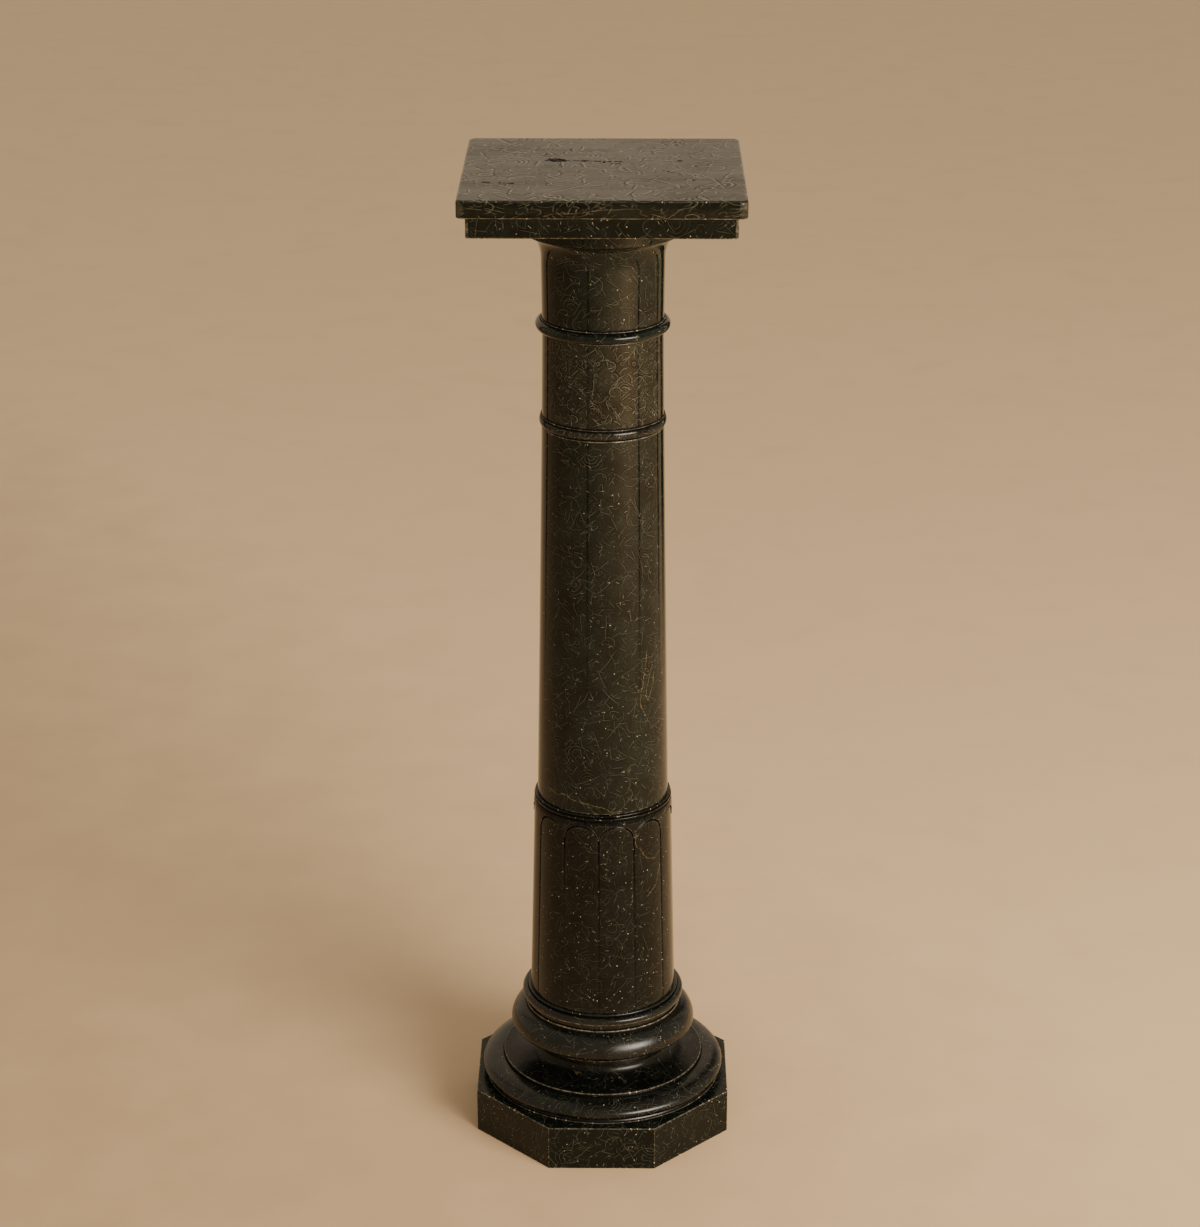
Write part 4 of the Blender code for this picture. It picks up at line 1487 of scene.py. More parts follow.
@dataclass
class LobedDrum(StonePiece):
    """Drum of twelve round-headed lobes under a collar with two thin beads."""

    node: str = "lobed_drum"
    slot: str = "lobed_stone"
    height: float = 0.2358
    foot_radius: float = 0.0800
    head_radius: float = 0.0745
    lobes: int = 12
    turn: float = math.radians(-3.0)
    lobe_rise: float = 0.0005
    groove_head_depth: float = 0.0011
    groove_foot_depth: float = 0.0004
    arch_groove_depth: float = 0.0012
    groove_margin: float = 0.0012
    arch_margin: float = 0.0040
    apex_drop: float = 0.0122
    arch_rise: float = 0.0165
    dart_width: float = 0.0012
    collar_radius: float = 0.0759
    bead: float = 0.0012
    quirk: float = 0.0008
    columns: int = 28
    chip_share: float = 0.35
    chip_sizes: tuple[float, float] = (0.0003, 0.0009)
    seed: int = 5

    def stone(self) -> FossilLimestone:
        """Polished, dark, with more specks than the other drums."""
        return FossilLimestone(
            "polished_lobed_limestone",
            (20.0, 410.0, 180.0),
            ground="101511",
            shade="070A08",
            gloss=0.28,
            lines=0.34,
            shards=0.65,
            rings=0.3,
            specks=0.9,
        )

    def collar_outline(self) -> Outline:
        """Outline of the collar above the lobes' heads."""
        top = self.height
        bead = self.bead
        reach = self.collar_radius - 0.0030
        lower_mid = top - 3.6 * bead
        outline = Outline()
        outline.corner(self.collar_radius - 0.0004, top - self.apex_drop + 0.0010, 0.0)
        outline.corner(reach + self.quirk + bead / 2, lower_mid - 2.2 * bead, 0.0, Edge.HOLLOW)
        outline.arc((reach + self.quirk, lower_mid), bead, bead, -50.0, 50.0)
        outline.corner(reach + bead - self.quirk, (top - bead + lower_mid) / 2, 0.0002, Edge.HOLLOW)
        outline.arc((reach, top - bead), bead, bead, -50.0, 90.0)
        outline.corner(reach - 0.004, top, 0.0)
        return outline

    def side_radius(self, height: float) -> float:
        """Radius of the plain taper at a height."""
        body_height = self.height - self.apex_drop
        return self.foot_radius + (self.head_radius - self.foot_radius) * height / body_height

    def collar_side(self, height: float) -> float:
        """Radius of the collar's plain part at a height."""
        apex = self.height - self.apex_drop
        fall = min(max((apex - height) / (self.arch_rise / 3), 0.0), 1.0)
        return self.collar_radius - 0.0004 * (1.0 - fall)

    def lobe(self) -> bpy.types.Mesh:
        """One lobe with its share of the collar, underside and top, between the middles of two grooves.

        Returns:
            The lobe as an open mesh from the axis out and back to the axis.
        """
        pitch = 2 * math.pi / self.lobes
        half = pitch / 2 - self.dart_width / 2 / self.collar_radius
        apex = self.height - self.apex_drop
        springing = apex - self.arch_rise
        below = [0.0, 0.0002, 0.0004, 0.0007, 0.0011, 0.0017, 0.0024, 0.0032, 0.0042, 0.0060, 0.0085, 0.0115, 0.0150]
        above = [0.0, 0.12, 0.30, 0.55, 0.78, 1.0]
        collar = self.collar_outline().traced(0.0008)
        runs = 44

        lanes = [-pitch / 2] + [-half * math.cos(math.pi * step / self.columns) for step in range(self.columns + 1)]
        lanes += [pitch / 2]
        grid: list[list[tuple[float, float, float, float, float]]] = []
        for lane in lanes:
            share = min(max(lane / half, -1.0), 1.0)
            arch = springing + self.arch_rise * math.sqrt(max(0.0, 1.0 - share**2))
            column = []
            lowest = arch - below[-1]
            for step in range(runs):
                height = lowest * (step / runs)
                column.append(self.lobe_point(lane, share, height, arch, half))
            for drop in reversed(below):
                column.append(self.lobe_point(lane, share, arch - drop, arch, half))
            start = arch + 0.00025
            for climb in above:
                height = start + (collar.up[0] - start) * climb
                # The collar's lower edge takes the light line of wear and painted highlight.
                worn_and_highlight = 0.5 if climb == 0.0 else 0.0
                column.append((lane, self.collar_side(height), height, worn_and_highlight, 0.0))
            for number in range(1, len(collar.out)):
                column.append(
                    (lane, collar.out[number], collar.up[number], collar.arris[number], collar.hollow[number])
                )
            grid.append(column)

        rows = len(grid[0])
        points, arris, hollow = [], [], []
        for column in grid:
            foot_lane, foot_out = column[0][0], column[0][1]
            inner = [(foot_lane, foot_out - 0.004, 0.0, 0.0, 0.0), (foot_lane, foot_out - 0.030, 0.0, 0.0, 0.0)]
            top_lane, top_out, top_up = column[-1][0], column[-1][1], column[-1][2]
            cap = [(top_lane, top_out - 0.030, top_up, 0.0, 0.0)]
            for lane, out, up, worn_and_highlight, painted_shade in [inner[1], inner[0]] + column + cap:
                points.append((out * math.sin(lane), -out * math.cos(lane), up))
                arris.append(worn_and_highlight)
                hollow.append(painted_shade)
        rows += 3
        columns = len(grid)
        number = np.arange(rows * columns).reshape(columns, rows)
        quads = np.stack([number[:-1, :-1], number[1:, :-1], number[1:, 1:], number[:-1, 1:]], axis=-1)
        faces = quads.reshape(-1, 4).tolist()
        low, high = len(points), len(points) + 1
        points += [(0.0, 0.0, 0.0), (0.0, 0.0, self.height)]
        arris += [0.0, 0.0]
        hollow += [0.0, 0.0]
        for lane in range(columns - 1):
            faces.append([int(number[lane + 1, 0]), int(number[lane, 0]), low])
            faces.append([int(number[lane, -1]), int(number[lane + 1, -1]), high])
        mesh = bpy.data.meshes.new("lobe")
        mesh.from_pydata(points, [], faces)
        mesh.shade_smooth()
        store(mesh, "arris", np.array(arris))
        store(mesh, "hollow", np.array(hollow))
        return mesh

    def lobe_point(
        self, lane: float, share: float, height: float, arch: float, half: float
    ) -> tuple[float, float, float, float, float]:
        """Place, light line and painted shade of a point on a lobe.

        Args:
            lane: Its angle from the lobe's middle.
            share: The angle as a share of the lobe's half width.
            height: Its height.
            arch: Height of the lobe's edge above it.
            half: Half the lobe's width as an angle.

        Returns:
            Its angle, radius, height, light line and painted shade.
        """
        springing = self.height - self.apex_drop - self.arch_rise
        beside = (1.0 - abs(share)) * half * self.collar_radius
        slope = abs(share) / math.sqrt(max(1e-4, 1.0 - share**2)) * self.arch_rise / (half * self.collar_radius)
        under = (arch - height) / math.hypot(1.0, slope)
        edge = min(beside, under) if height < springing else under
        climb = min(max(height / springing, 0.0), 1.0)
        side_depth = self.groove_foot_depth + (self.groove_head_depth - self.groove_foot_depth) * climb
        margin = self.groove_margin
        if height > springing:
            rise_share = min((height - springing) / self.arch_rise, 1.0)
            side_depth += (self.arch_groove_depth - self.groove_head_depth) * rise_share
            margin += (self.arch_margin - margin) * rise_share
        near = max(0.0, 1.0 - edge / margin)
        drop = side_depth * near**2
        out = self.side_radius(height) + self.lobe_rise * (1.0 - share**2) - drop
        # Light line along the rim of each lobe's head: a painted highlight.
        worn_and_highlight = max(0.0, 1.0 - abs(edge - margin) * 3.0 / margin) * climb**6
        # Painted shadow under the arch edges and down the heads of the grooves.
        painted_shade = max(0.0, 1.0 - edge / (margin * 0.8)) ** 0.5 * (0.15 + 0.85 * climb**7)
        if height < 1e-6:
            worn_and_highlight = 0.3
        return lane, out, height, worn_and_highlight * 0.15, painted_shade

    def build(self) -> bpy.types.Object:
        """Build and dress the drum."""
        piece = link(self.node + "_stone", self.lobe())
        values = {
            "Lobe Count": self.lobes,
            "Pitch": 2 * math.pi / self.lobes,
            "Turn": self.turn + math.pi / self.lobes,
            "Join Distance": 0.00001,
            "Stone": self.stone().build(),
        }
        run_tree(piece, self.workshop.lobes, values)
        foot = self.foot()
        for vertex in piece.data.vertices:
            vertex.co.z += foot
        veins = (
            Vein(((29.6, 0.371), (28.4, 0.358), (34.3, 0.349), (39.3, 0.339), (48.9, 0.335), (54.0, 0.342))),
            Vein(((55.5, 0.326), (50.0, 0.304), (39.0, 0.293))),
        )
        store_veins(piece.data, veins)
        move_to_corners(piece.data)
        lines = []
        for radius, height in (
            (self.collar_radius - 0.0018, self.height - self.bead),
            (self.collar_radius - 0.0010, self.height - 3.6 * self.bead),
        ):
            ring = [
                Vector((radius * math.sin(angle), -radius * math.cos(angle), foot + height))
                for angle in np.linspace(0.0, 2 * math.pi, 144, endpoint=False)
            ]
            lines.append(ring)
        shards = self.workshop.shards(lines, self.chip_spacing, self.chip_share, self.chip_sizes, self.seed * 10)
        self.workshop.cut(piece, shards)
        hand_in(piece, self.node)
        return piece


@dataclass
class MainShaft(StonePiece):
    """The long tapered drum."""

    node: str = "main_shaft"
    slot: str = "shaft_stone"
    height: float = 0.4177
    foot_radius: float = 0.0712
    waist_radius: float = 0.0668
    waist_share: float = 0.62
    head_radius: float = 0.0642
    chip_share: float = 0.2
    seed: int = 6

    def stone(self) -> FossilLimestone:
        """Polished, middling dense marks."""
        return FossilLimestone("polished_shaft_limestone", (55.0, 15.0, 530.0))

    def build(self) -> bpy.types.Object:
        """Build and dress the shaft."""
        outline = Outline()
        outline.corner(self.foot_radius - 0.030, 0.0, 0.0)
        outline.corner(self.foot_radius, 0.0, 0.0006, Edge.ARRIS)
        for share in np.linspace(0.0, 1.0, 9)[1:-1]:
            outline.corner(self.side_radius(float(share)), self.height * float(share), 0.0)
        outline.corner(self.head_radius, self.height, 0.0006, Edge.ARRIS)
        outline.corner(self.head_radius - 0.030, self.height, 0.0)
        veins = (
            Vein(((-62.0, 0.4105), (-52.0, 0.4150), (-44.0, 0.4110), (-37.0, 0.4145), (-27.0, 0.4105),
                  (-17.0, 0.4085), (2.0, 0.4040), (7.0, 0.3995), (17.0, 0.3985))),
            Vein(((43.5, 0.577), (40.5, 0.550), (36.5, 0.532), (35.5, 0.519), (40.0, 0.508))),
            Vein(((50.0, 0.560), (44.5, 0.541), (42.0, 0.527), (44.5, 0.520), (51.0, 0.535), (53.0, 0.550))),
            Vein(((35.0, 0.812), (36.5, 0.770), (36.0, 0.730), (37.0, 0.690), (35.5, 0.640), (33.5, 0.590)), 1.0),
        )
        return self.finish(Block(self.node, outline.traced(), RoundPlan(), self.foot()), veins)

    def side_radius(self, share: float) -> float:
        """Radius at a share of the height, on a smooth curve through foot, waist and head."""
        foot, waist, head, place = self.foot_radius, self.waist_radius, self.head_radius, self.waist_share
        bend = ((waist - foot) / place - (head - foot)) / (place - 1.0)
        return foot + share * (head - foot - bend) + bend * share**2


@dataclass
class NeckDrum(StonePiece):
    """Short drum with a thin ring and its fillets at the foot."""

    node: str = "neck_drum"
    slot: str = "neck_stone"
    height: float = 0.1029
    foot_radius: float = 0.0640
    head_radius: float = 0.0629
    ring_reach: float = 0.0027
    ring_half_height: float = 0.0047
    foot_fillet: float = 0.0009
    fillet_height: float = 0.0016
    fillet_reach: float = 0.0014
    seed: int = 7

    def stone(self) -> FossilLimestone:
        """Polished, browner and more thickly marked than the other drums."""
        return FossilLimestone(
            "polished_neck_limestone",
            (240.0, 90.0, 640.0),
            ground="292A21",
            shade="161712",
            mark="6C6A59",
            lines=1.0,
            shards=0.7,
            rings=1.0,
            fineness=1.5,
        )

    def build(self) -> bpy.types.Object:
        """Build and dress the neck drum."""
        ring_mid = self.foot_fillet + self.ring_half_height
        ring_top = ring_mid + self.ring_half_height
        fillet_top = ring_top + self.fillet_height
        outline = Outline()
        outline.corner(self.foot_radius - 0.030, 0.0, 0.0)
        outline.corner(self.foot_radius + self.fillet_reach / 2, 0.0, 0.0002, Edge.HOLLOW)
        outline.corner(self.foot_radius + self.fillet_reach / 2, self.foot_fillet, 0.0, Edge.HOLLOW)
        outline.arc((self.foot_radius, ring_mid), self.ring_reach, self.ring_half_height, -70.0, 70.0)
        outline.corner(self.foot_radius + self.fillet_reach, ring_top, 0.0, Edge.HOLLOW)
        outline.corner(self.foot_radius + self.fillet_reach, fillet_top, 0.0004, Edge.ARRIS)
        outline.corner(self.foot_radius, fillet_top, 0.0003, Edge.HOLLOW)
        outline.corner(self.head_radius, self.height, 0.0006, Edge.ARRIS)
        outline.corner(self.head_radius - 0.030, self.height, 0.0)
        return self.finish(Block(self.node, outline.traced(), RoundPlan(), self.foot()))


@dataclass
class UpperDrum(StonePiece):
    """Drum with a half-round ring at its foot and a hollow flare up to a disc."""

    node: str = "upper_drum"
    slot: str = "upper_stone"
    height: float = 0.1267
    foot_radius: float = 0.0632
    head_radius: float = 0.0638
    ring_radius: float = 0.0055
    ring_set_out: float = 0.0013
    flare_height: float = 0.0290
    disc_radius: float = 0.0828
    disc_height: float = 0.0232
    disc_arris: float = 0.0014
    disc_step: float = 0.0006
    fillet_height: float = 0.0016
    fillet_reach: float = 0.0014
    seed: int = 8

    def stone(self) -> FossilLimestone:
        """Polished, middling marks."""
        return FossilLimestone(
            "polished_upper_limestone", (400.0, 130.0, 720.0), ground="19211A"
        )

    def build(self) -> bpy.types.Object:
        """Build and dress the upper drum."""
        disc_foot = self.height - self.disc_height
        flare_foot = disc_foot - self.flare_height
        ring_top = 2 * self.ring_radius
        fillet_top = ring_top + self.fillet_height
        ring_centre = (self.foot_radius + self.ring_set_out, self.ring_radius)
        flare_end = self.disc_radius - self.disc_arris - self.disc_step
        outline = Outline()
        outline.corner(self.foot_radius - 0.030, 0.0, 0.0)
        outline.arc(ring_centre, self.ring_radius, self.ring_radius, -90.0, 76.0)
        outline.corner(self.foot_radius + self.fillet_reach, ring_top, 0.0, Edge.HOLLOW)
        outline.corner(self.foot_radius + self.fillet_reach, fillet_top, 0.0004, Edge.ARRIS)
        outline.corner(self.foot_radius, fillet_top, 0.0003, Edge.HOLLOW)
        flare_reach = flare_end - self.head_radius
        outline.arc((flare_end, flare_foot), flare_reach, self.flare_height - self.disc_step, 180.0, 90.0)
        outline.corner(flare_end, disc_foot, 0.0, Edge.HOLLOW)
        disc_centre = (self.disc_radius - self.disc_arris, disc_foot + self.disc_arris)
        outline.arc(disc_centre, self.disc_arris, self.disc_arris, -90.0, 0.0)
        outline.corner(self.disc_radius, self.height, 0.0)
        outline.corner(self.disc_radius - 0.030, self.height, 0.0)
        return self.finish(Block(self.node, outline.traced(), RoundPlan(), self.foot()))


@dataclass
class UnderSlab(StonePiece):
    """Square block with a small cove round its top and an eased lower arris."""

    node: str = "under_slab"
    slot: str = "under_slab_stone"
    half_width: float = 0.1337
    thickness: float = 0.0215
    corner_radius: float = 0.0030
    arris: float = 0.0016
    cove_height: float = 0.0042
    cove_reach: float = 0.0026
    seed: int = 9

    def stone(self) -> FossilLimestone:
        """Polished, dark, with large pale arcs."""
        return FossilLimestone(
            "polished_under_slab_limestone", (500.0, 310.0, 240.0), ground="141A14", shade="0A0E0A", lines=0.45, rings=0.45, gloss=0.24, fineness=0.8
        )

    def build(self) -> bpy.types.Object:
        """Build and dress the under-slab."""
        cove_foot = self.thickness - self.cove_height
        outline = Outline()
        outline.corner(self.half_width - 0.012, 0.0, 0.0)
        outline.corner(self.half_width, 0.0, self.arris, Edge.ARRIS)
        outline.corner(self.half_width, cove_foot, 0.0)
        outline.arc((self.half_width + self.cove_reach, cove_foot), self.cove_reach, self.cove_height, 175.0, 92.0)
        outline.corner(self.half_width + self.cove_reach, self.thickness, 0.0)
        outline.corner(self.half_width - 0.012, self.thickness, 0.0)
        plan = SidedPlan(4, self.half_width, self.corner_radius, 0.6)
        return self.finish(Block(self.node, outline.traced(0.0025), plan, self.foot()))


@dataclass(frozen=True)
class PitTrail:
    """A trail of natural pits in the top.

    Attributes:
        start: Where it starts, as x and y.
        end: Where it ends.
        spacing: Distance between two places for a pit.
        share: Share of the places that have one.
        sizes: Least and greatest size.
    """

    start: tuple[float, float]
    end: tuple[float, float]
    spacing: float
    share: float
    sizes: tuple[float, float]


@dataclass
class TopSlab(StonePiece):
    """Square slab with rounded corners and arrises, and pits in its worn top."""

    node: str = "top_slab"
    slot: str = "top_slab_stone"
    half_width: float = 0.1425
    thickness: float = 0.0180
    corner_radius: float = 0.0080
    arris: float = 0.0030
    lower_arris: float = 0.0012
    seed: int = 10
    pit_grain: float = 0.00022
    pit_trails: tuple[PitTrail, ...] = (
        PitTrail((-0.056, 0.036), (-0.043, 0.037), 0.0016, 1.0, (0.0032, 0.0058)),
        PitTrail((-0.054, 0.042), (-0.047, 0.042), 0.0016, 1.0, (0.0026, 0.0046)),
        PitTrail((-0.050, 0.031), (-0.038, 0.031), 0.0018, 1.0, (0.0024, 0.0044)),
        PitTrail((-0.041, 0.035), (0.018, 0.030), 0.0030, 0.8, (0.0016, 0.0040)),
        PitTrail((-0.034, 0.039), (0.004, 0.027), 0.0040, 0.5, (0.0012, 0.0030)),
        PitTrail((0.008, 0.020), (0.016, 0.022), 0.0025, 0.9, (0.0014, 0.0030)),
        PitTrail((-0.118, -0.062), (-0.088, -0.068), 0.0045, 0.9, (0.0022, 0.0042)),
        PitTrail((0.078, 0.034), (0.088, 0.032), 0.0030, 1.0, (0.0024, 0.0044)),
        PitTrail((0.062, -0.012), (0.072, -0.020), 0.0035, 0.8, (0.0012, 0.0028)),
        PitTrail((-0.020, -0.060), (0.012, -0.055), 0.0060, 0.6, (0.0010, 0.0022)),
        PitTrail((-0.090, 0.085), (0.110, 0.092), 0.0160, 0.6, (0.0012, 0.0030)),
    )

    def stone(self) -> FossilLimestone:
        """Worn polish, its sheen streaked from side to side."""
        return FossilLimestone(
            "worn_top_slab_limestone",
            (610.0, 20.0, 810.0),
            ground="13180F",
            shade="0A0D08",
            mark="85806A",
            lines=0.42,
            shards=0.35,
            rings=0.42,
            specks=0.3,
            roughness=0.20,
            streaks=0.5,
            drawn=(2.2, 2.2),
            top_wear=3.4,
            fineness=1.5,
        )

    def build(self) -> bpy.types.Object:
        """Build and dress the slab, then cut its pits."""
        outline = Outline()
        outline.corner(self.half_width - 0.020, 0.0, 0.0)
        outline.corner(self.half_width, 0.0, self.lower_arris, Edge.ARRIS)
        outline.corner(self.half_width, self.thickness, self.arris, Edge.ARRIS)
        outline.corner(self.half_width - 0.020, self.thickness, 0.0)
        plan = SidedPlan(4, self.half_width, self.corner_radius, 0.2)
        piece = self.finish(Block(self.node, outline.traced(0.0025), plan, self.foot()))
        self.cut_pits(piece)
        return piece

    def cut_pits(self, piece: bpy.types.Object) -> None:
        """Cut the pits into the top face.

        Args:
            piece: The slab.
        """
        top = self.foot() + self.thickness
        for number, trail in enumerate(self.pit_trails):
            start, end = Vector((*trail.start, top)), Vector((*trail.end, top))
            wander = [
                start.lerp(end, share) + Vector((0.0, 0.0015 * noise.noise(Vector((share * 5.0, number, 0.0))), 0.0))
                for share in np.linspace(0.0, 1.0, 12)
            ]
            pits = self.workshop.shards([wander], trail.spacing, trail.share, trail.sizes, 200 + number)
            melted = pits.modifiers.new("melted", "REMESH")
            melted.mode = "VOXEL"
            melted.voxel_size = self.pit_grain
            baked(pits)
            pits.data.materials.clear()
            pits.data.materials.append(self.workshop.pit)
            self.workshop.cut(piece, pits)
        crease(piece.data)


@dataclass
class Studio:
    """Pale floor, soft light and the camera at the photograph's angle.

    Attributes:
        floor_reach: Half the floor's side.
        camera_place: Where the camera stands.
        camera_tilt: Angle of the camera from straight down, in degrees.
        camera_turn: Turn of the camera about the upright, in degrees.
        focal_length: Focal length in millimetres on a 36 mm sensor.
    """

    floor_reach: float = 14.0
    floor_painted_shade: str = "C9A77F"
    floor_painted_light: str = "F6D3A4"
    camera_place: tuple[float, float, float] = (0.0242, -3.0149, 1.7751)
    camera_tilt: float = 68.712
    camera_turn: float = 0.5175
    focal_length: float = 88.7
    card_places: tuple[tuple[float, float], ...] = (
        (-124.0, 0.08), (-26.6, 0.045), (68.7, 0.05), (121.0, 0.08), (143.0, 0.25)
    )
    card_distance: float = 0.9
    key_azimuth: float = 42.0
    key_distance: float = 4.2
    key_height: float = 2.03
    key_size: tuple[float, float] = (3.6, 2.3)
    key_power: float = 700.0
    fill_strength: float = 0.50

    def build(self) -> None:
        """Build the floor, the lights and the camera."""
        self.floor()
        self.world()
        self.key_light()
        self.cards()
        self.camera()

    def floor(self) -> None:
        """A pale floor, as of heavy background paper, mottled, with painted light: lighter to the right and back,
        darker to the left and front.
        """
        bm = bmesh.new()
        bmesh.ops.create_grid(bm, x_segments=8, y_segments=8, size=self.floor_reach)
        mesh = bpy.data.meshes.new("floor")
        bm.to_mesh(mesh)
        bm.free()
        material = bpy.data.materials.new("background_paper")
        material.use_nodes = True
        tree = material.node_tree
        tree.nodes.clear()
        place = add_node(tree, "ShaderNodeTexCoord")
        blotch = add_node(
            tree, "ShaderNodeTexNoise", None, {"Vector": place.outputs["Object"], "Scale": 9.0, "Detail": 6.0}
        )
        # Painted light: the floor grows lighter to the right and back and darker to the left and front.
        slope = add_node(
            tree, "ShaderNodeVectorMath", {"operation": "DOT_PRODUCT"}, {0: place.outputs["Object"], 1: (0.7, 0.5, 0.0)}
        )
        painted_light_share = add_node(tree, "ShaderNodeMapRange", None, {0: slope.outputs["Value"], 1: -0.4, 2: 0.55, 4: 0.78})
        uneven = add_node(
            tree,
            "ShaderNodeMath",
            {"operation": "MULTIPLY_ADD"},
            {0: blotch.outputs["Fac"], 1: 0.45, 2: painted_light_share.outputs[0]},
        )
        colour = add_node(
            tree,
            "ShaderNodeMix",
            {"data_type": "RGBA"},
            {"Factor": uneven.outputs[0], 6: linear(self.floor_painted_shade), 7: linear(self.floor_painted_light)},
        )
        shader = add_node(
            tree, "ShaderNodeBsdfPrincipled", None, {"Base Color": colour.outputs[2], "Roughness": 0.95}
        )
        shader.inputs["Specular IOR Level"].default_value = 0.1
        add_node(tree, "ShaderNodeOutputMaterial", None, {"Surface": shader.outputs[0]})
        mesh.materials.append(material)
        floor = link("floor", mesh)

    def world(self) -> None:
        """Soft studio light from all round, and the darker studio that the polish reflects."""
        world = bpy.data.worlds.new("studio")
        world.use_nodes = True
        bpy.context.scene.world = world
        tree = world.node_tree
        tree.nodes.clear()
        direction = add_node(tree, "ShaderNodeTexCoord")
        axes = add_node(tree, "ShaderNodeSeparateXYZ", None, {0: direction.outputs["Generated"]})
        depth = add_node(tree, "ShaderNodeMapRange", None, {0: axes.outputs["Y"], 1: -0.2, 2: 0.7, 3: 0.0, 4: 1.0})
        climb = add_node(tree, "ShaderNodeMapRange", None, {0: axes.outputs["Z"], 1: 0.9, 2: 0.45, 3: 0.0, 4: 1.0})
        back = add_node(
            tree, "ShaderNodeMath", {"operation": "MULTIPLY"}, {0: depth.outputs[0], 1: climb.outputs[0]}
        )
        seen = add_node(
            tree,
            "ShaderNodeMix",
            {"data_type": "RGBA"},
            {"Factor": back.outputs[0], 6: linear("B9AA90"), 7: linear("D9C4A8")},
        )
        rays = add_node(tree, "ShaderNodeLightPath")
        gloss = add_node(tree, "ShaderNodeBackground", None, {"Color": seen.outputs[2], "Strength": 1.0})
        fill = add_node(
            tree, "ShaderNodeBackground", None, {"Color": linear("FFF6EA"), "Strength": self.fill_strength}
        )
        backdrop = add_node(tree, "ShaderNodeBackground", None, {"Color": linear("BBA588"), "Strength": 1.0})
        lit = add_node(
            tree, "ShaderNodeMixShader", None, {0: rays.outputs["Is Glossy Ray"], 1: fill.outputs[0], 2: gloss.outputs[0]}
        )
        shown = add_node(
            tree, "ShaderNodeMixShader", None, {0: rays.outputs["Is Camera Ray"], 1: lit.outputs[0], 2: backdrop.outputs[0]}
        )
        add_node(tree, "ShaderNodeOutputWorld", None, {"Surface": shown.outputs[0]})

    def around(self, azimuth: float, distance: float, height: float) -> Vector:
        """A place round the pedestal, its azimuth in degrees from the front and growing to the right."""
        angle = math.radians(azimuth)
        return Vector((distance * math.sin(angle), -distance * math.cos(angle), height))

    def key_light(self) -> None:
        """One tall soft light at the front right."""
        data = bpy.data.lights.new("key", "AREA")
        data.shape = "RECTANGLE"
        data.size, data.size_y = self.key_size
        data.energy = self.key_power
        data.color = linear("FFF2E2")[:3]
        data.use_nodes = True
        tree = data.node_tree
        tree.nodes.clear()
        place = add_node(tree, "ShaderNodeNewGeometry")
        shares = add_node(tree, "ShaderNodeSeparateXYZ", None, {0: place.outputs["Parametric"]})
        glow = None
        for share in (shares.outputs["X"], shares.outputs["Y"]):
            rest = add_node(tree, "ShaderNodeMath", {"operation": "SUBTRACT"}, {0: 1.0, 1: share})
            hump = add_node(tree, "ShaderNodeMath", {"operation": "MULTIPLY"}, {0: share, 1: rest.outputs[0]})
            scaled = add_node(tree, "ShaderNodeMath", {"operation": "MULTIPLY"}, {0: hump.outputs[0], 1: 4.0})
            glow = scaled if glow is None else add_node(
                tree, "ShaderNodeMath", {"operation": "MULTIPLY"}, {0: glow.outputs[0], 1: scaled.outputs[0]}
            )
        lit = add_node(tree, "ShaderNodeEmission", None, {"Strength": glow.outputs[0]})
        add_node(tree, "ShaderNodeOutputLight", None, {"Surface": lit.outputs[0]})
        lamp = bpy.data.objects.new("key", data)
        bpy.context.scene.collection.objects.link(lamp)
        lamp.location = self.around(self.key_azimuth, self.key_distance, self.key_height)
        aim = Vector((0.0, 0.0, 0.5)) - lamp.location
        lamp.rotation_euler = aim.to_track_quat("-Z", "Y").to_euler()

    def cards(self) -> None:
        """Black cards round the pedestal, which only the polish reflects; their feet fade out."""
        material = bpy.data.materials.new("black_card")
        material.use_nodes = True
        tree = material.node_tree
        tree.nodes.clear()
        place = add_node(tree, "ShaderNodeTexCoord")
        axes = add_node(tree, "ShaderNodeSeparateXYZ", None, {0: place.outputs["Object"]})
        solid = add_node(tree, "ShaderNodeMapRange", None, {0: axes.outputs["Z"], 1: 0.15, 2: 0.45})
        clear = add_node(tree, "ShaderNodeBsdfTransparent")
        black = add_node(tree, "ShaderNodeBsdfDiffuse", None, {"Color": linear("0A0A0A")})
        shader = add_node(
            tree, "ShaderNodeMixShader", None, {0: solid.outputs[0], 1: clear.outputs[0], 2: black.outputs[0]}
        )
        add_node(tree, "ShaderNodeOutputMaterial", None, {"Surface": shader.outputs[0]})
        for number, (azimuth, width) in enumerate(self.card_places):
            middle = self.around(azimuth, self.card_distance, 0.0)
            angle = math.radians(azimuth)
            sideways = Vector((math.cos(angle), math.sin(angle), 0.0)) * width / 2
            low, high = Vector((0.0, 0.0, 0.05)), Vector((0.0, 0.0, 1.9))
            corners = [middle - sideways + low, middle + sideways + low, middle + sideways + high]
            corners.append(middle - sideways + high)
            mesh = bpy.data.meshes.new(f"card_{number}")
            mesh.from_pydata([corner[:] for corner in corners], [], [(0, 1, 2, 3)])
            mesh.materials.append(material)
            card = link(f"card_{number}", mesh)
            card.visible_camera = False
            card.visible_diffuse = False
            card.visible_shadow = False

    def camera(self) -> None:
        """The camera at the photograph's viewing angle."""
        data = bpy.data.cameras.new("camera")
        data.sensor_width = 36.0
        data.lens = self.focal_length
        camera = bpy.data.objects.new("camera", data)
        bpy.context.scene.collection.objects.link(camera)
        camera.location = self.camera_place
        camera.rotation_euler = (math.radians(self.camera_tilt), 0.0, math.radians(self.camera_turn))
        bpy.context.scene.camera = camera


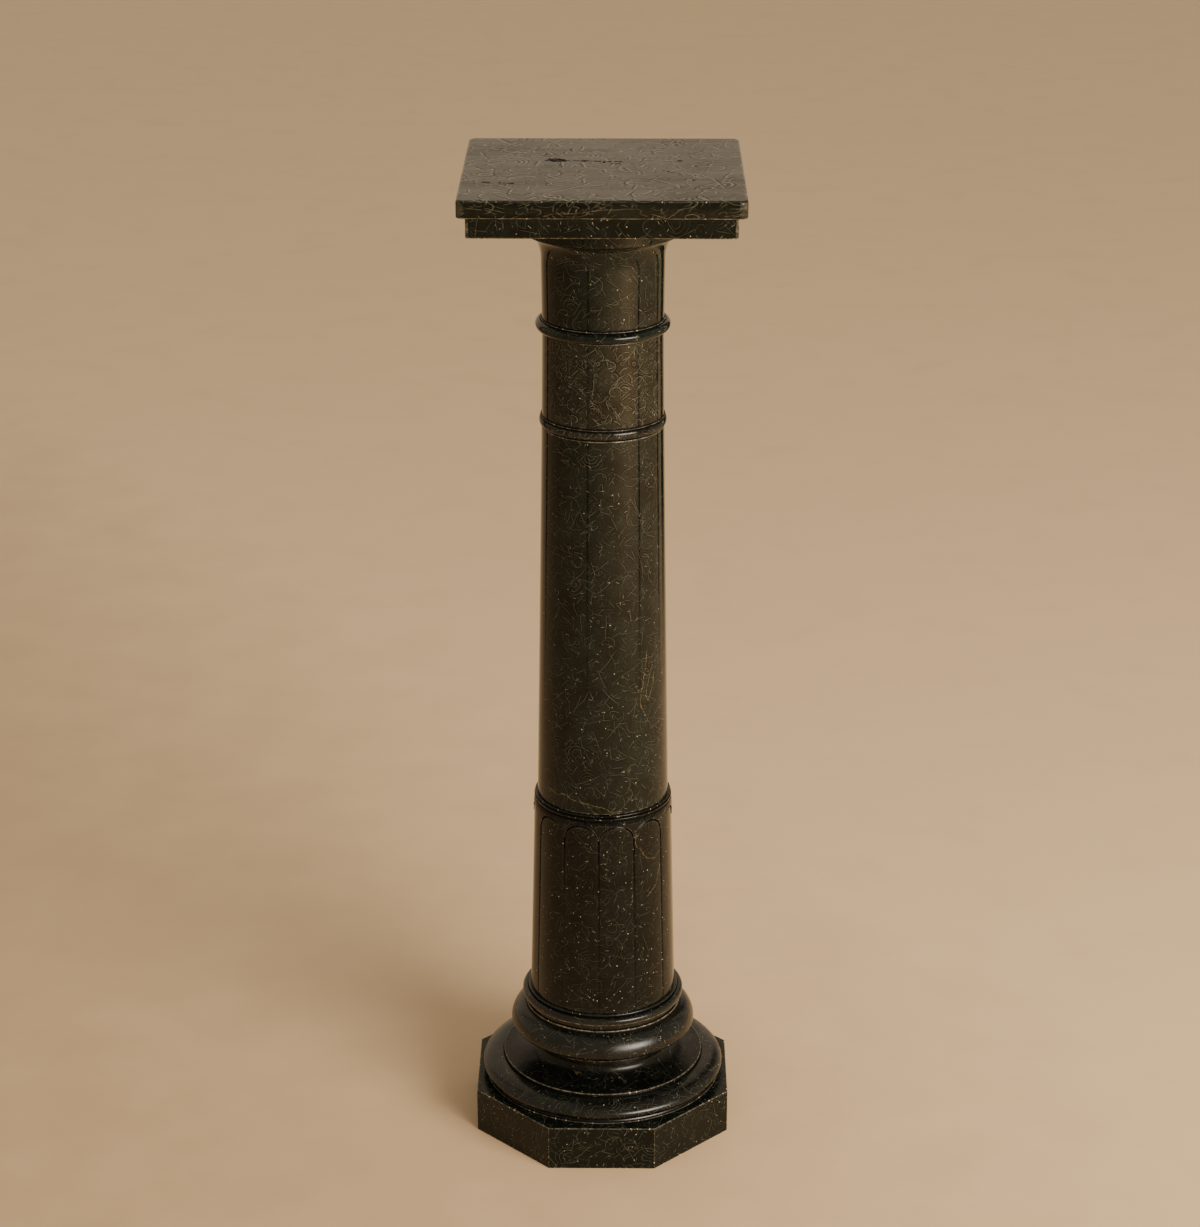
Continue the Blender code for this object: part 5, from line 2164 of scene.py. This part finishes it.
def main() -> None:
    """Build the blocks from the floor up, then the studio."""
    logging.basicConfig(level=logging.INFO, format="%(relativeCreated)d ms %(name)s %(message)s")
    workshop = Workshop()
    for kind in (Plinth, MouldedBase, LobedDrum, MainShaft, NeckDrum, UpperDrum, UnderSlab, TopSlab):
        kind(workshop).build()
    Studio().build()


if __name__ == "__main__":
    main()
